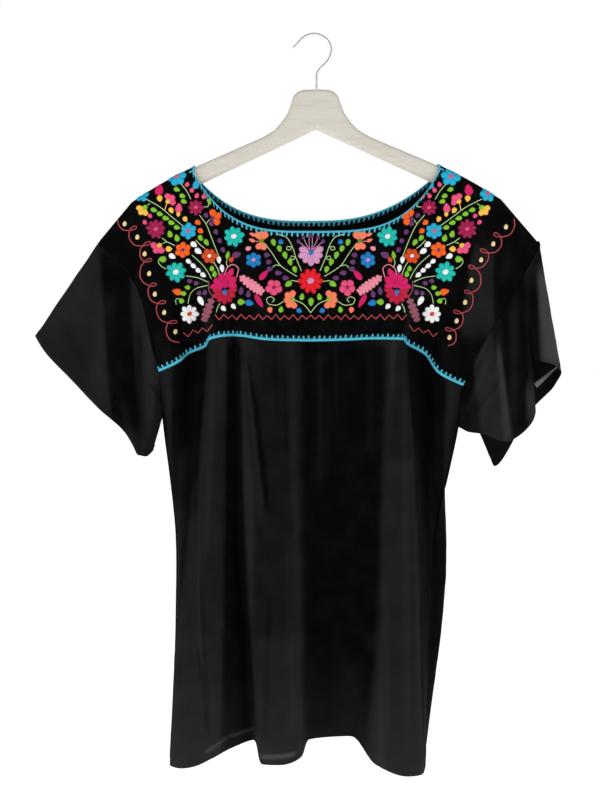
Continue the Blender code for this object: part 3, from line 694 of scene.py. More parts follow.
BACK_CREASES = (
    Crease(-120, -380, -128, -600, 6, -2.0),
    Crease(-98, -365, -102, -520, 3.5, 1.4),
    Crease(-75, -380, -80, -620, 7, 1.8),
    Crease(-45, -470, -42, -720, 7, -2.0),
    Crease(-20, -366, -16, -500, 3, 1.1),
    Crease(14, -366, 18, -600, 6, 1.6),
    Crease(36, -366, 34, -480, 3, -1.2),
    Crease(50, -500, 52, -740, 6, -1.8),
    Crease(78, -366, 84, -540, 4, 1.3),
    Crease(100, -380, 112, -600, 6, 1.8),
    Crease(135, -430, 140, -620, 5, -1.8),
    Crease(-108, -358, -110, -440, 2.6, -1.2),
    Crease(-86, -356, -87, -420, 2.6, 1.1),
    Crease(-56, -358, -57, -450, 2.8, -1.2),
    Crease(-36, -358, -37, -415, 2.6, 1.0),
    Crease(-4, -360, -5, -470, 2.6, -1.2),
    Crease(25, -358, 27, -425, 2.6, 1.1),
    Crease(48, -358, 50, -440, 2.6, 1.0),
    Crease(66, -357, 69, -460, 2.8, -1.2),
    Crease(92, -356, 95, -420, 2.6, -1.1),
)
# Painted light and shade on the panels: strips with a high level are painted lighter, those at 0 painted
# black as shade.
FRONT_TONES = (
    Tone(-138, -353, 44, -161, -686, 16, 0.0),
    Tone(-109, -353, 17, -129, -686, 52, 0.5),
    Tone(-129, -686, 52, -134, -852, 60, 0.62),
    Tone(-49, -353, 31, -43, -686, 51, 0.3),
    Tone(-43, -686, 51, -38, -852, 49, 0.55),
    Tone(33, -353, 100, 29, -686, 84, 0.0),
    Tone(29, -686, 84, 17, -852, 58, 0.03),
    Tone(-90, -353, 16, -89, -553, 20, 0.0),
    Tone(-89, -553, 20, -85, -802, 35, 0.0),
    Tone(-80, -367, 6, -60, -553, 8, 0.5),
    Tone(-73, -378, 4, -53, -536, 4, 0.0),
    Tone(11, -353, 13, 11, -486, 10, 0.14),
    Tone(99, -353, 13, 93, -492, 33, 0.45),
    Tone(93, -492, 33, 97, -852, 44, 0.62),
    Tone(129, -353, 42, 132, -852, 24, 0.0),
)
BACK_TONES = (
    Tone(-138, -353, 44, -142, -752, 16, 0.0),
    Tone(-83, -353, 29, -87, -841, 38, 0.5),
    Tone(-16, -353, 44, -9, -841, 40, 0.03),
    Tone(42, -353, 27, 46, -841, 38, 0.45),
    Tone(117, -353, 33, 126, -841, 24, 0.0),
)
# Pale lines where light comes through the turned-up hem, given as creases are.
FRONT_GLINTS = (
    Crease(-120, -806, -96, -790, 1.5, 1.6),
    Crease(-96, -790, -66, -786, 1.5, 1.3),
    Crease(-60, -811, -20, -807, 2.2, 2.6),
)


def skirt_grid(lines):
    above = np.linspace(0, UNDERARM, UNDERARM_ROWS)
    below = np.linspace(UNDERARM, 1, SKIRT_ROWS - UNDERARM_ROWS + 1)[1:]
    levels = np.concatenate((above, below))
    return np.array([section(lines, v) for v in levels]), levels


def pull_edges(grid):
    """Draws the top and the sides back a little, so that a seam's two edges don't touch."""
    for edge, inner in ((grid[0], grid[1]), (grid[:, 0], grid[:, 1]), (grid[:, -1], grid[:, -2])):
        step = inner - edge
        edge += step / np.linalg.norm(step, axis=1, keepdims=True) * SEAM_GAP


def turned_edge(grid, depth, side, closed=False):
    """Doubles the cloth along its last rows; gives back the line where it is stitched down."""
    out = side * grid_normals(grid, closed)
    below = lengths_along(grid[::-1], 0)[::-1] / MM
    grid += out * TURNED_RISE * np.clip((depth - below) / TURNED_EDGE, 0, 1)[..., None]
    at = np.argmin(np.abs(below - (depth - STITCH_LINE)), axis=0)
    columns = np.arange(grid.shape[1])
    return grid[at, columns] + out[at, columns] * TURNED_RISE, out[at, columns]


def seam_lap(grid, edge, inner):
    """The back panel's seam allowance, which lies inside the front panel's edge."""
    step = grid[:, edge] - grid[:, inner]
    step /= np.linalg.norm(step, axis=1, keepdims=True)
    return (grid[:, edge] + step * SEAM_LAP + grid_normals(grid)[:, edge] * SEAM_DEPTH)[:, None]


def painted_fold_shade(out):
    """Painted light and shade from how far each point stands out, in mm, against the cloth on both sides
    of it.
    """
    padded = np.pad(out, ((0, 0), (FOLD_REACH, FOLD_REACH)), mode="edge")
    total = np.cumsum(np.pad(padded, ((0, 0), (1, 0))), axis=1)
    width = 2 * FOLD_REACH + 1
    nearby = (total[:, width:] - total[:, :-width]) / width
    return np.clip(FOLD_BASE + (out - nearby) / FOLD_DEPTH, 0, 1)


def build_panel(name, lines, creases, tones, glints, seed, front):
    """One panel, and the line of its hem stitches with the way out of the cloth along it."""
    side = 1 if front else -1
    grid, levels = skirt_grid(lines)
    grid = grid + side * (wrinkled(grid, creases, seed, PANEL_RIPPLE) - grid)
    hem_line = turned_edge(grid, HEM_DEPTH, side)
    pull_edges(grid)
    if not front:
        grid = np.concatenate((seam_lap(grid, 0, 1), grid, seam_lap(grid, -1, -2)), axis=1)
    across = lengths_along(grid, 1)
    across -= across[:, across.shape[1] // 2][:, None]
    uv = np.stack((across, lengths_along(grid, 0)), axis=-1).reshape(-1, 2)
    faces = grid_faces(*grid.shape[:2], turn=not front)
    # Painted light and shade: lighter on the folds' crests and in the strips, darker in the hollows,
    # lighter towards the hem.
    lightness = painted_light_map(grid, painted_fold_shade(-side * grid[..., 1]), tones, creases, glints)
    lightness = lightness * (SEAM_PAINTED_LIGHT + PAINTED_LIGHT_GROWTH * levels)[:, None]
    lightness += HEM_PAINTED_LIGHT * np.clip(levels - HEM_PAINTED_LIGHT_FROM, 0, 1)[:, None]
    piece = new_piece(name, grid.reshape(-1, 3) * MM, faces, BLACK_COTTON, uv, lightness)
    thicken(piece, CLOTH)
    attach(piece, "root")
    return piece, hem_line


front_panel, front_hem = build_panel(
    "gathered_front", FRONT_LINES, FRONT_CREASES, FRONT_TONES, FRONT_GLINTS, seed=11, front=True
)
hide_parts("front_panel")
back_panel, back_hem = build_panel(
    "gathered_back", BACK_LINES, BACK_CREASES, BACK_TONES, glints=(), seed=17, front=False
)
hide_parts("back_panel")


# Sleeves
# Each wide, short sleeve is one piece of the same cotton, set into the armhole and joined under
# the arm.  Its cuff is turned up and stitched; the right one gapes at its outer corner.
SLEEVE_ROWS = 60
SLEEVE_RIPPLE = 0.4  # mm
SLEEVE_GAP = 0.5  # mm between the armhole and the sleeve's own edge
# Painted light on each sleeve's cloth: the left one is painted lighter than the right.
LEFT_PAINTED_LIGHT, RIGHT_PAINTED_LIGHT = 0.62, 0.28
CUFF_OVERLAP = 3  # points of a cuff repeated past each end, so that the curve closes smoothly
CUFF_DEPTH = 8.0  # mm

# Each row is a point of a cuff in mm, with its share of the way round the armhole.
Cuff = namedtuple("Cuff", "name share x y z")
LEFT_CUFF = (
    Cuff("top", 0.0, -320, 0, -346),
    Cuff("front_top", 0.05, -307, -15, -364),
    Cuff("front_upper", 0.12, -275, -27, -396),
    Cuff("front_middle", 0.19, -242, -31, -430),
    Cuff("front_lower", 0.24, -213, -29, -457),
    Cuff("front_corner", 0.28, -200, -21, -482),
    Cuff("inner_front", 0.38, -192, -12, -484),
    Cuff("inner", 0.50, -186, 4, -478),
    Cuff("back_corner", 0.66, -199, 20, -478),
    Cuff("back_middle", 0.80, -240, 30, -428),
    Cuff("back_upper", 0.90, -284, 22, -386),
)
RIGHT_CUFF = (
    Cuff("top", 0.0, 284, -4, -389),
    Cuff("front_outer", 0.05, 268, -26, -379),
    Cuff("valley_top", 0.10, 249, -10, -374),
    Cuff("valley_foot", 0.16, 251, -22, -431),
    Cuff("ridge", 0.24, 213, -48, -466),
    Cuff("front_inner", 0.32, 190, -36, -458),
    Cuff("inner_front", 0.41, 175, -17, -456),
    Cuff("inner", 0.50, 170, 0, -453),
    Cuff("inner_back", 0.56, 197, 17, -460),
    Cuff("back_corner", 0.64, 211, 22, -497),
    Cuff("back_middle", 0.80, 252, 24, -434),
    Cuff("back_outer", 0.92, 280, 13, -402),
)
LEFT_SLEEVE_CREASES = (
    Crease(-198, -335, -196, -470, 5, -2.0),
    Crease(-232, -300, -252, -430, 10, 1.4),
    Crease(-285, -330, -244, -420, 12, -1.3),
    Crease(-216, -420, -203, -478, 5, 1.4),
    Crease(-256, -270, -300, -340, 12, 1.1),
    Crease(-186, -398, -161, -440, 3, -1.8),
    Crease(-178, -386, -159, -426, 2.6, 1.6),
)
RIGHT_SLEEVE_CREASES = (
    Crease(229, -300, 222, -455, 6, 2.2),
    Crease(191, -375, 167, -424, 3.5, -1.4),
    Crease(201, -368, 173, -434, 4, 1.3),
    Crease(246, -290, 262, -390, 9, -1.6),
    Crease(197, -345, 210, -445, 5, -1.3),
    Crease(214, -360, 186, -452, 3, 1.2),
    Crease(199, -330, 159, -436, 2, -2.4),
    Crease(208, -400, 183, -434, 2, -1.8),
)
# Painted light and shade on the sleeves, strip by strip.
LEFT_SLEEVE_TONES = (
    Tone(-228, -250, 34, -213, -454, 29, 0.0),
    Tone(-190, -341, 11, -188, -488, 20, 0.8),
    Tone(-174, -375, 14, -165, -454, 16, 0.45),
)
RIGHT_SLEEVE_TONES = (
    Tone(188, -335, 23, 205, -471, 32, 0.95),
    Tone(223, -233, 29, 231, -456, 27, 0.0),
    Tone(208, -358, 5, 215, -465, 10, 1.7),
    Tone(262, -273, 16, 270, -381, 25, 2.6),
    Tone(244, -403, 11, 245, -448, 11, 1.2),
    Tone(167, -363, 18, 171, -420, 18, 0.0),
)


def armhole(left):
    """The closed armhole, from the shoulder down the front to the underarm and up the back."""
    side = 0 if left else -1
    seam = SLEEVE_SEAM_LEFT if left else SLEEVE_SEAM_RIGHT
    angles = [math.pi * k / OVER_STEPS for k in range(OVER_STEPS + 1)]
    crown = [shoulder_point(seam, a) for a in angles]
    half = OVER_STEPS // 2
    levels = np.linspace(0, UNDERARM, UNDERARM_ROWS)[1:]
    sides = []
    for lines, front in ((FRONT_LINES, True), (BACK_LINES, False)):
        edge = list(yoke_grid(lines, front)[:, side])
        edge += [line_at(lines[side], v, True) for v in levels]
        sides.append(edge)
    front, back = sides
    return np.array(crown[half:0:-1] + front + back[-2::-1] + crown[-2:half:-1])


def build_sleeve(name, table, creases, tones, lightness, seed, left):
    """One sleeve, and the line of its cuff stitches with the way out of the cloth along it."""
    loop = armhole(left)
    ring = np.concatenate((loop, loop[:1]))
    lengths = np.linalg.norm(np.diff(ring, axis=0), axis=1)
    lowest = int(np.argmin(loop[:, 2]))
    run = np.concatenate(([0.0], np.cumsum(lengths)[:-1]))
    front, back = lengths[:lowest].sum(), lengths[lowest:].sum()
    shares = np.where(
        np.arange(len(loop)) <= lowest, 0.5 * run / front, 0.5 + 0.5 * (run - front) / back
    )
    points = [(p.share - 1, p) for p in table[-CUFF_OVERLAP:]] + [(p.share, p) for p in table]
    points += [(p.share + 1, p) for p in table[:CUFF_OVERLAP]]
    cuff = smooth([share for share, _ in points], [(p.x, p.y, p.z) for _, p in points], shares)
    t = np.linspace(0, 1, SLEEVE_ROWS + 1)[:, None, None]
    step = (cuff - loop) / np.linalg.norm(cuff - loop, axis=1, keepdims=True)
    grid = (loop + step * SLEEVE_GAP) * (1 - t) + cuff * t
    grid = 2 * grid - wrinkled(grid, creases, seed, SLEEVE_RIPPLE, closed=True)
    cuff_line = [np.concatenate((row, row[:1])) for row in turned_edge(grid, CUFF_DEPTH, -1, closed=True)]
    lap = loop - step[0] * SEAM_LAP + grid_normals(grid, closed=True)[0] * SEAM_DEPTH
    grid = np.concatenate((lap[None], grid))
    around = len(loop)
    j = np.arange(around)
    faces = []
    for i in range(SLEEVE_ROWS + 1):
        a, b = i * around + j, i * around + (j + 1) % around
        faces += np.stack((a, b, b + around, a + around), axis=-1).tolist()
    uv = np.stack(
        (np.broadcast_to(run * MM, grid.shape[:2]), lengths_along(grid, 0)), axis=-1
    ).reshape(-1, 2)
    # Painted light and shade on the sleeve's front side.
    tone_share = painted_light_map(grid, lightness, tones, creases, facing=True)
    piece = new_piece(name, grid.reshape(-1, 3) * MM, faces, BLACK_COTTON, uv, tone_share)
    thicken(piece, CLOTH)
    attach(piece, "root")
    return piece, cuff_line


left_sleeve, left_cuff = build_sleeve(
    "sleeve_on_the_left", LEFT_CUFF, LEFT_SLEEVE_CREASES, LEFT_SLEEVE_TONES, LEFT_PAINTED_LIGHT,
    seed=23, left=True,
)
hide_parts("left_sleeve")
right_sleeve, right_cuff = build_sleeve(
    "sleeve_on_the_right", RIGHT_CUFF, RIGHT_SLEEVE_CREASES, RIGHT_SLEEVE_TONES, RIGHT_PAINTED_LIGHT,
    seed=29, left=False,
)
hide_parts("right_sleeve")


# Hem and cuff stitches
# One line of black machine stitches runs along the hem and round each cuff, and holds the
# turned-up edge.  Every stitch is a small raised bead of thread on the cloth.
STITCH_LENGTH, STITCH_PITCH = 2.6, 3.7  # mm
STITCH_HALF_WIDTH, STITCH_HEIGHT = 0.30, 0.42  # mm
STITCH_WEAR = 0.9
# Places along a bead of thread, from its middle, with its share of the full girth there
BEAD_RINGS = ((-0.5, 0.15), (-0.3, 0.8), (0.0, 1.0), (0.3, 0.8), (0.5, 0.15))
BEAD_TURNS = np.linspace(0, math.pi, 5)
BEAD_WEAVE = 0.2 * MM  # on the weave map, between two of a ring's points


def add_bead(verts, faces, spine, half_width, height):
    """One raised stitch in half rings; its spine lists places, ways out, ways aside and girths."""
    first = len(verts)
    for place, out, aside, girth in spine:
        for turn in BEAD_TURNS:
            rise = out * math.sin(turn) * height + aside * math.cos(turn) * half_width
            verts.append(place + rise * girth)
    faces += grid_faces(len(spine), len(BEAD_TURNS), first)


def stitch_down(name, line, out):
    verts, faces, uv = [], [], []
    run = np.concatenate(([0.0], np.cumsum(np.linalg.norm(np.diff(line, axis=0), axis=1))))

    def read(values, at):
        return np.array([np.interp(at, run, values[:, k]) for k in range(3)])

    for at in np.arange(STITCH_PITCH, run[-1] - STITCH_PITCH, STITCH_PITCH):
        start, end = read(line, at - STITCH_LENGTH / 2), read(line, at + STITCH_LENGTH / 2)
        normal = read(out, at)
        normal /= np.linalg.norm(normal)
        aside = np.cross(end - start, normal)
        aside /= np.linalg.norm(aside)
        middle = (start + end) / 2 + normal * (CLOTH / MM / 2)
        spine = [(middle + (end - start) * along, normal, aside, girth) for along, girth in BEAD_RINGS]
        add_bead(verts, faces, spine, STITCH_HALF_WIDTH, STITCH_HEIGHT)
        uv += [(at * MM, k * BEAD_WEAVE) for _ in BEAD_RINGS for k in range(len(BEAD_TURNS))]
    lightness = np.full(len(verts), STITCH_WEAR)
    piece = new_piece(name, np.array(verts) * MM, faces, BLACK_COTTON, uv, lightness)
    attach(piece, "root")
    return piece


front_hem_stitches = stitch_down("front_hem_stitches", *front_hem)
back_hem_stitches = stitch_down("back_hem_stitches", *back_hem)
left_cuff_stitches = stitch_down("left_cuff_stitches", *left_cuff)
right_cuff_stitches = stitch_down("right_cuff_stitches", *right_cuff)


# Flower embroidery
# The yoke is worked by hand in soft cotton floss: raised satin stitch for the flowers and leaves,
# stem stitch for the stems and the looped border, and one zigzag line above the lower seam.

# Each floss has the colour of its strands' crowns and a darker one painted as shade in the hollows
# between them and at each patch's low rim.
FLOSS = {
    "turquoise": ((0.006, 0.40, 0.62), (0.002, 0.18, 0.33)),
    "teal": ((0.004, 0.50, 0.42), (0.001, 0.22, 0.19)),
    "red": ((0.80, 0.001, 0.012), (0.30, 0.001, 0.004)),
    "crimson": ((0.50, 0.001, 0.040), (0.16, 0.001, 0.010)),
    "magenta": ((0.64, 0.001, 0.115), (0.27, 0.001, 0.045)),
    "plum": ((0.34, 0.001, 0.065), (0.12, 0.001, 0.024)),
    "pink": ((0.80, 0.075, 0.20), (0.36, 0.024, 0.080)),
    "pale_pink": ((0.86, 0.27, 0.36), (0.44, 0.10, 0.15)),
    "mauve": ((0.30, 0.085, 0.13), (0.12, 0.028, 0.048)),
    "coral": ((0.95, 0.21, 0.105), (0.46, 0.075, 0.032)),
    "orange": ((0.90, 0.115, 0.004), (0.42, 0.036, 0.001)),
    "rust": ((0.66, 0.060, 0.003), (0.28, 0.020, 0.001)),
    "yellow": ((0.92, 0.52, 0.060), (0.46, 0.22, 0.016)),
    "straw": ((0.86, 0.66, 0.33), (0.45, 0.31, 0.12)),
    "green": ((0.21, 0.53, 0.020), (0.060, 0.20, 0.006)),
    "stem_green": ((0.47, 0.70, 0.29), (0.20, 0.34, 0.11)),
    "purple": ((0.125, 0.032, 0.135), (0.042, 0.009, 0.050)),
    "lilac": ((0.66, 0.30, 0.50), (0.32, 0.11, 0.22)),
    "blue": ((0.003, 0.20, 0.55), (0.001, 0.075, 0.26)),
    "white": ((0.90, 0.90, 0.90), (0.48, 0.47, 0.49)),
    "border_red": ((0.46, 0.060, 0.070), (0.18, 0.018, 0.022)),
}

# The design's places and sizes are in picture pixels, and its left half is listed.
# A whole flower: its middle, its breadth, its petals and the turn of its first petal in degrees.
Flower = namedtuple("Flower", "x y size petals colour heart heart_size turn")
PAIRED_FLOWERS = (
    Flower(274, 287.5, 17, 5, "pink", "plum", 4.4, 52),
    Flower(253.5, 260, 16, 6, "blue", "lilac", 4.4, 30),
    Flower(234, 236.5, 21, 8, "teal", "white", 6.0, 12),
    Flower(176, 272, 21, 8, "teal", "white", 6.6, 12),
    Flower(189.5, 314, 19, 8, "white", "rust", 5.4, 0),
    Flower(183, 250, 16.5, 6, "orange", "purple", 4.0, 28),
    Flower(209.5, 256, 16, 6, "rust", "white", 4.2, 0),
    Flower(188.5, 231, 17, 6, "turquoise", "pink", 4.4, 28),
    Flower(196, 207.5, 16, 8, "plum", "pink", 4.4, 0),
    Flower(156, 229, 20, 9, "plum", "pink", 5.0, 10),
    Flower(176.5, 176.5, 20, 6, "turquoise", "pink", 5.0, 12),
    Flower(141, 194, 16, 6, "turquoise", "pink", 4.0, 0),
)
MIDDLE_FLOWER = Flower(310.5, 281, 26, 10, "red", "lilac", 7.4, 0)

# A half flower: petals that spread from a bud through part of a circle.
Fan = namedtuple("Fan", "x y reach petals colour first last heart heart_size")
PAIRED_FANS = (
    Fan(212.5, 218.5, 9.5, 3, "orange", 88, -38, "purple", 5.0),
    Fan(145, 207.5, 9.0, 3, "yellow", 185, 275, "green", 5.6),
    Fan(159.5, 245.5, 9.0, 3, "pink", 178, 292, "yellow", 5.4),
    Fan(168, 201.5, 8.5, 3, "pink", 95, -12, "yellow", 5.2),
    Fan(261.5, 241, 10.5, 2, "coral", 118, 62, "green", 5.0),
    Fan(261.5, 241, 9.5, 2, "coral", 242, 290, "green", 5.0),
    Fan(292.5, 299.5, 9.5, 5, "coral", 88, 285, "green", 5.0),
    Fan(225.5, 284, 12.5, 6, "magenta", 205, -15, "magenta", 9.0),
    Fan(224.5, 292, 12.5, 7, "crimson", 168, 372, "blue", 5.4),
)
MIDDLE_FAN = Fan(311, 253, 13.0, 7, "lilac", 158, 382, "blue", 6.0)

# A row of leaves or dots: how many, where the first and the last one lie, how far the row bows,
# and each one's length, width and the way its point looks.
Row = namedtuple("Row", "colour count x0 y0 x1 y1 bow length width angle")


def leaf(colour, x, y, length, width, angle):
    """A single leaf or dot, as a row of one."""
    return Row(colour, 1, x, y, x, y, 0.0, length, width, angle)


PAIRED_ROWS = (
    Row("green", 5, 154, 210, 177, 227.5, 0.6, 7.0, 4.8, -15),
    Row("green", 2, 177, 189.5, 182.5, 196, 0.0, 6.4, 4.8, -20),
    leaf("green", 184, 201.5, 6.2, 4.8, -20),
    Row("green", 2, 170, 234, 177, 238, 0.0, 7.2, 5.4, 105),
    Row("green", 2, 200.6, 238, 206.5, 242.5, 0.0, 6.8, 4.8, -58),
    leaf("green", 209.3, 201.5, 6.8, 4.0, -70),
    Row("green", 2, 212, 268.5, 214.6, 274, 0.0, 6.4, 4.8, 90),
    Row("green", 5, 273.5, 242.5, 294.8, 269.5, 1.2, 7.4, 5.0, -72),
    Row("green", 2, 187.5, 287.5, 183.2, 293.5, 0.0, 6.2, 4.8, 175),
    leaf("green", 181.8, 301, 6.0, 5.4, 0),
    leaf("green", 162.5, 259.3, 8.2, 6.6, 180),
    leaf("green", 227.8, 255, 7.6, 4.2, 78),
    leaf("green", 288.4, 284, 8.2, 5.8, 215),
    Row("green", 2, 281, 309.5, 302, 296.8, 0.0, 7.0, 5.0, 80),
    leaf("green", 241.3, 302, 7.2, 6.4, 0),
    Row("purple", 5, 206.3, 215.5, 223, 250, 1.4, 5.8, 4.8, -60),
    leaf("purple", 236.6, 254.8, 9.6, 6.6, 22),
    Row("purple", 3, 267, 255, 269.8, 269, 0.5, 6.2, 5.2, 5),
    Row("purple", 2, 278.5, 273, 285.7, 278, 0.0, 7.2, 5.0, 0),
    Row("purple", 2, 241.2, 290.8, 248.3, 294, 0.0, 8.0, 4.8, 84),
    Row("purple", 2, 190, 281, 196.5, 283.2, 0.0, 5.6, 4.8, 0),
    Row("purple", 2, 199.3, 293, 205, 292.4, 0.0, 5.6, 4.8, 70),
    Row("white", 2, 194, 244.5, 198.4, 251.2, 0.0, 7.6, 5.6, -35),
    leaf("white", 172.3, 256.3, 7.4, 5.4, -30),
    Row("white", 4, 188.8, 261.5, 203.4, 275, 0.0, 6.4, 4.6, -35),
    Row("white", 2, 219, 260, 222, 268.5, 0.0, 7.8, 4.6, -82),
    Row("white", 2, 223.5, 308.6, 233.6, 306.5, 0.0, 6.6, 4.8, -48),
    leaf("white", 201, 301, 10.6, 5.6, -60),
    Row("orange", 2, 198, 222.6, 200.7, 231, 0.0, 6.6, 5.4, -35),
    leaf("orange", 177, 291.8, 9.6, 6.6, 165),
    leaf("rust", 231.5, 259.5, 6.6, 4.6, 60),
    leaf("magenta", 159.3, 189.8, 11.0, 8.4, 78),
    leaf("magenta", 263.8, 275, 13.0, 6.0, 48),
    leaf("magenta", 259, 301, 14.5, 5.4, -60),
    leaf("magenta", 231, 272.2, 9.6, 6.0, 64),
    leaf("magenta", 213.5, 286.5, 7.0, 5.6, 200),
    leaf("yellow", 159.8, 198.6, 6.4, 5.8, -85),
    Row("yellow", 2, 171.3, 210.4, 185.3, 219.2, 0.0, 6.2, 5.0, -60),
    leaf("yellow", 169, 249, 7.0, 6.0, 0),
    Row("pink", 3, 187.3, 184.3, 197, 195.6, 0.0, 5.6, 4.6, 65),
    leaf("pink", 204, 196.3, 5.8, 5.0, 80),
    Row("pink", 2, 150.2, 216, 145, 222.4, 0.0, 5.2, 4.4, -50),
    leaf("pink", 178.8, 208, 10.0, 7.2, 85),
    leaf("yellow", 178.4, 214.4, 4.8, 4.2, -90),
    Row("coral", 2, 252.5, 234.5, 251.8, 240.3, 0.0, 6.6, 3.6, 158),
    leaf("pale_pink", 248.5, 248.4, 6.2, 4.8, 20),
    leaf("coral", 270, 310, 6.4, 5.4, -80),
    Row("blue", 2, 281, 242, 299.3, 310.7, 0.0, 5.8, 5.2, -30),
    leaf("blue", 249.4, 303, 9.2, 6.4, -15),
    leaf("blue", 225, 294.5, 6.2, 4.2, 90),
    leaf("turquoise", 196, 184.6, 8.4, 6.4, 85),
)
MIDDLE_LEAF = leaf("green", 311, 302, 8.6, 5.8, -90)

# A feather is a long leaf with lobed edges, from its base to its tip.
Feather = namedtuple("Feather", "colour x0 y0 x1 y1 width lobes")
PAIRED_FEATHERS = (
    Feather("pale_pink", 240, 276.5, 262.5, 292.5, 10.5, 7),
    Feather("mauve", 212.5, 298, 204, 321, 8.6, 5),
)

# Stems, in stem stitch: colour, width and the few points that the line is led through.
Stem = namedtuple("Stem", "colour width points")
PAIRED_STEMS = (
    Stem("stem_green", 0.85, ((146, 199), (160, 207), (172, 217), (183, 226))),
    Stem("stem_green", 0.85, ((181, 184), (187, 191.5), (191, 199.5))),
    Stem("stem_green", 0.85, ((196, 240), (200.5, 245), (205, 248.5))),
    Stem("stem_green", 0.85, ((199.5, 215), (206.5, 225), (212, 239), (219, 257))),
    Stem("stem_green", 0.78, ((206, 224), (209.5, 219.5))),
    Stem("stem_green", 0.85, ((162, 238), (167.5, 242), (175, 245.5))),
    Stem("stem_green", 0.78, ((167, 242), (162.5, 243.5))),
    Stem("stem_green", 0.85, ((192, 255), (202, 264), (208, 272), (211.5, 279))),
    Stem("stem_green", 0.85, ((214, 262.5), (217.5, 269), (220, 277))),
    Stem("stem_green", 0.85, ((186, 276), (197, 277.5), (208, 282))),
    Stem("stem_green", 0.85, ((208, 285.3), (196, 288.5), (190, 295), (188, 303.5))),
    Stem("stem_green", 0.78, ((160.5, 257.5), (158.3, 261.5), (161, 266), (166, 269))),
    Stem("stem_green", 0.85, ((264.5, 243), (272, 253), (280.5, 265.5), (288, 271), (297, 276.5))),
    Stem("stem_green", 0.78, ((281, 266), (276, 265), (272.5, 267.5))),
    Stem("stem_green", 0.85, ((277, 234), (286, 237), (292, 246), (296, 258), (301.5, 271))),
    Stem("stem_green", 0.78, ((291.5, 247), (287.5, 246.5), (286.5, 249.5), (290, 250), (291.5, 247))),
    Stem("stem_green", 0.78, ((295, 257), (291.5, 256), (290.5, 259), (294, 259.5), (295, 257))),
    Stem("stem_green", 0.85, ((291, 280.5), (298, 281.5))),
    Stem("stem_green", 0.85, ((294, 299.8), (303, 304), (311, 313))),
    Stem("stem_green", 0.85, (
        (283.5, 301.5), (276, 305.3), (268.5, 304), (266.5, 299.5),
        (270.5, 296.8), (274.3, 299.5), (272, 302.5),
    )),
    Stem("stem_green", 0.78, ((209, 203.5), (208, 206.5), (204, 207))),
    Stem("stem_green", 0.78, ((227.5, 258), (226.5, 263), (228, 267.5))),
    Stem("stem_green", 0.78, ((220, 303.5), (217.5, 308), (216.5, 312.5))),
    Stem("stem_green", 0.78, ((180, 299), (177, 298.5), (175.5, 301), (176.5, 304.5))),
    Stem("stem_green", 0.78, ((150, 203.5), (147, 205.5))),
    Stem("yellow", 1.0, ((166.7, 204), (164.8, 210))),
    Stem("mauve", 0.9, ((209, 281), (209, 288.5), (213.5, 298))),
    Stem("pale_pink", 1.0, ((224, 277.5), (226.5, 269), (233, 264.5), (238.5, 269), (236.5, 277.5))),
    Stem("pale_pink", 0.9, ((255.5, 236), (258.5, 239))),
    Stem("pale_pink", 0.9, ((254.5, 241.3), (258.5, 241.5))),
)

# The zigzag above the seam, from its first corner to its last, and the middle fan's stamens
Zigzag = namedtuple("Zigzag", "x0 y0 x1 y1 strokes")
ZIGZAGS = (Zigzag(215, 317, 310.7, 317.5, 22), Zigzag(183.5, 335, 212.5, 327.5, 6))
ZIGZAG_RISE = 2.4
STAMEN_ROOT = (310, 250)
STAMENS = ((298.3, 241.3), (303.3, 237.4), (309.2, 235.6))

# The joints of the looped border's scallops, from the shoulder down to the seam
LEFT_BORDER = (
    (118, 219), (129.5, 230.5), (142.5, 246), (144.5, 262),
    (149.5, 286), (157.5, 303.5), (168, 323), (179, 342.5),
)
RIGHT_BORDER = (
    (514, 219), (501, 237), (488.5, 253), (476, 268.5),
    (471.5, 293), (462, 313), (454, 330), (448, 346),
)
SCALLOP_DEPTH = 0.24  # share of a scallop's length that it bows out
SCALLOP = ((0.2, 0.75), (0.5, 1.1), (0.8, 0.8))  # shares along it and of its bow
LOOP = ((0, 0), (0.45, -1.6), (0.9, -1.3), (1.0, 0.1), (0.85, 1.3), (0.45, 1.1), (0, 0))
LOOP_REACH = 8.0
LOOPS = 6  # the last joint has none

# The right half mirrors the left one; from one height up it grows a little wider to the shoulder.
DESIGN_MIDDLE = 310.7
WIDER_BY, WIDER_AT = 8, 184
WIDER_ABOVE, WIDER_OVER = 240, 45

# How petals and hearts fill a flower, as shares of its even parts, and how uneven the hand is
PETAL_FULLNESS, FAN_FULLNESS = 1.36, 1.28
FAN_MIDDLE = 0.62  # share of the reach at which a fan's petals are broadest
WIDEST_FAN_PETAL = 0.74  # share of the reach
BED_SIZE, BED_HEIGHT = 0.62, 0.35  # flat stitches beneath the petals: share of the size, and mm
HEART_HEIGHT, FAN_HEART_HEIGHT = 1.3, 1.2  # mm
PETAL_UNEVENNESS, LEAF_UNEVENNESS = 0.05, 0.06

# How the stitches lie on the cloth
FAR_SIDE = 1  # mm past the hanger's middle, from where a hit is on the cloth's other half
SHOULDER_MARGIN = 4  # mm inside the shoulder's outline where the design turns over it
TURN_START = 1.0  # mm
SEARCH_DEPTH = 12  # mm
FLOSS_LIFT = 0.32  # mm from the cloth's middle to the foot of the stitches
SUNK_RIM = -0.1  # mm: a patch's rim dips a little, so that no gap shows beneath it
THREAD_WIDTH = 0.7  # mm
STEM_HEIGHT = 0.55  # mm
STEM_SLANT = 0.35
LEAF_HOLLOW, PETAL_HOLLOW, STEM_HOLLOW = 0.78, 0.8, 0.84  # height between threads to that on them

yoke_tree = BVHTree.FromPolygons(
    [v.co / MM for v in yoke.data.vertices], [tuple(p.vertices) for p in yoke.data.polygons]
)
stitches = defaultdict(lambda: {"verts": [], "faces": [], "uv": [], "crest": []})


def sight_line(px, py, back=False):
    """The eye in front of the blouse, or behind it, and the way it looks through one pixel."""
    side = -1 if back else 1
    eye = Vector((CAMERA_AT[0], side * CAMERA_AT[1], CAMERA_AT[2]))
    return eye, Vector(((px - PICTURE_MIDDLE[0]) * PIXEL, -eye.y, (PICTURE_MIDDLE[1] - py) * PIXEL))


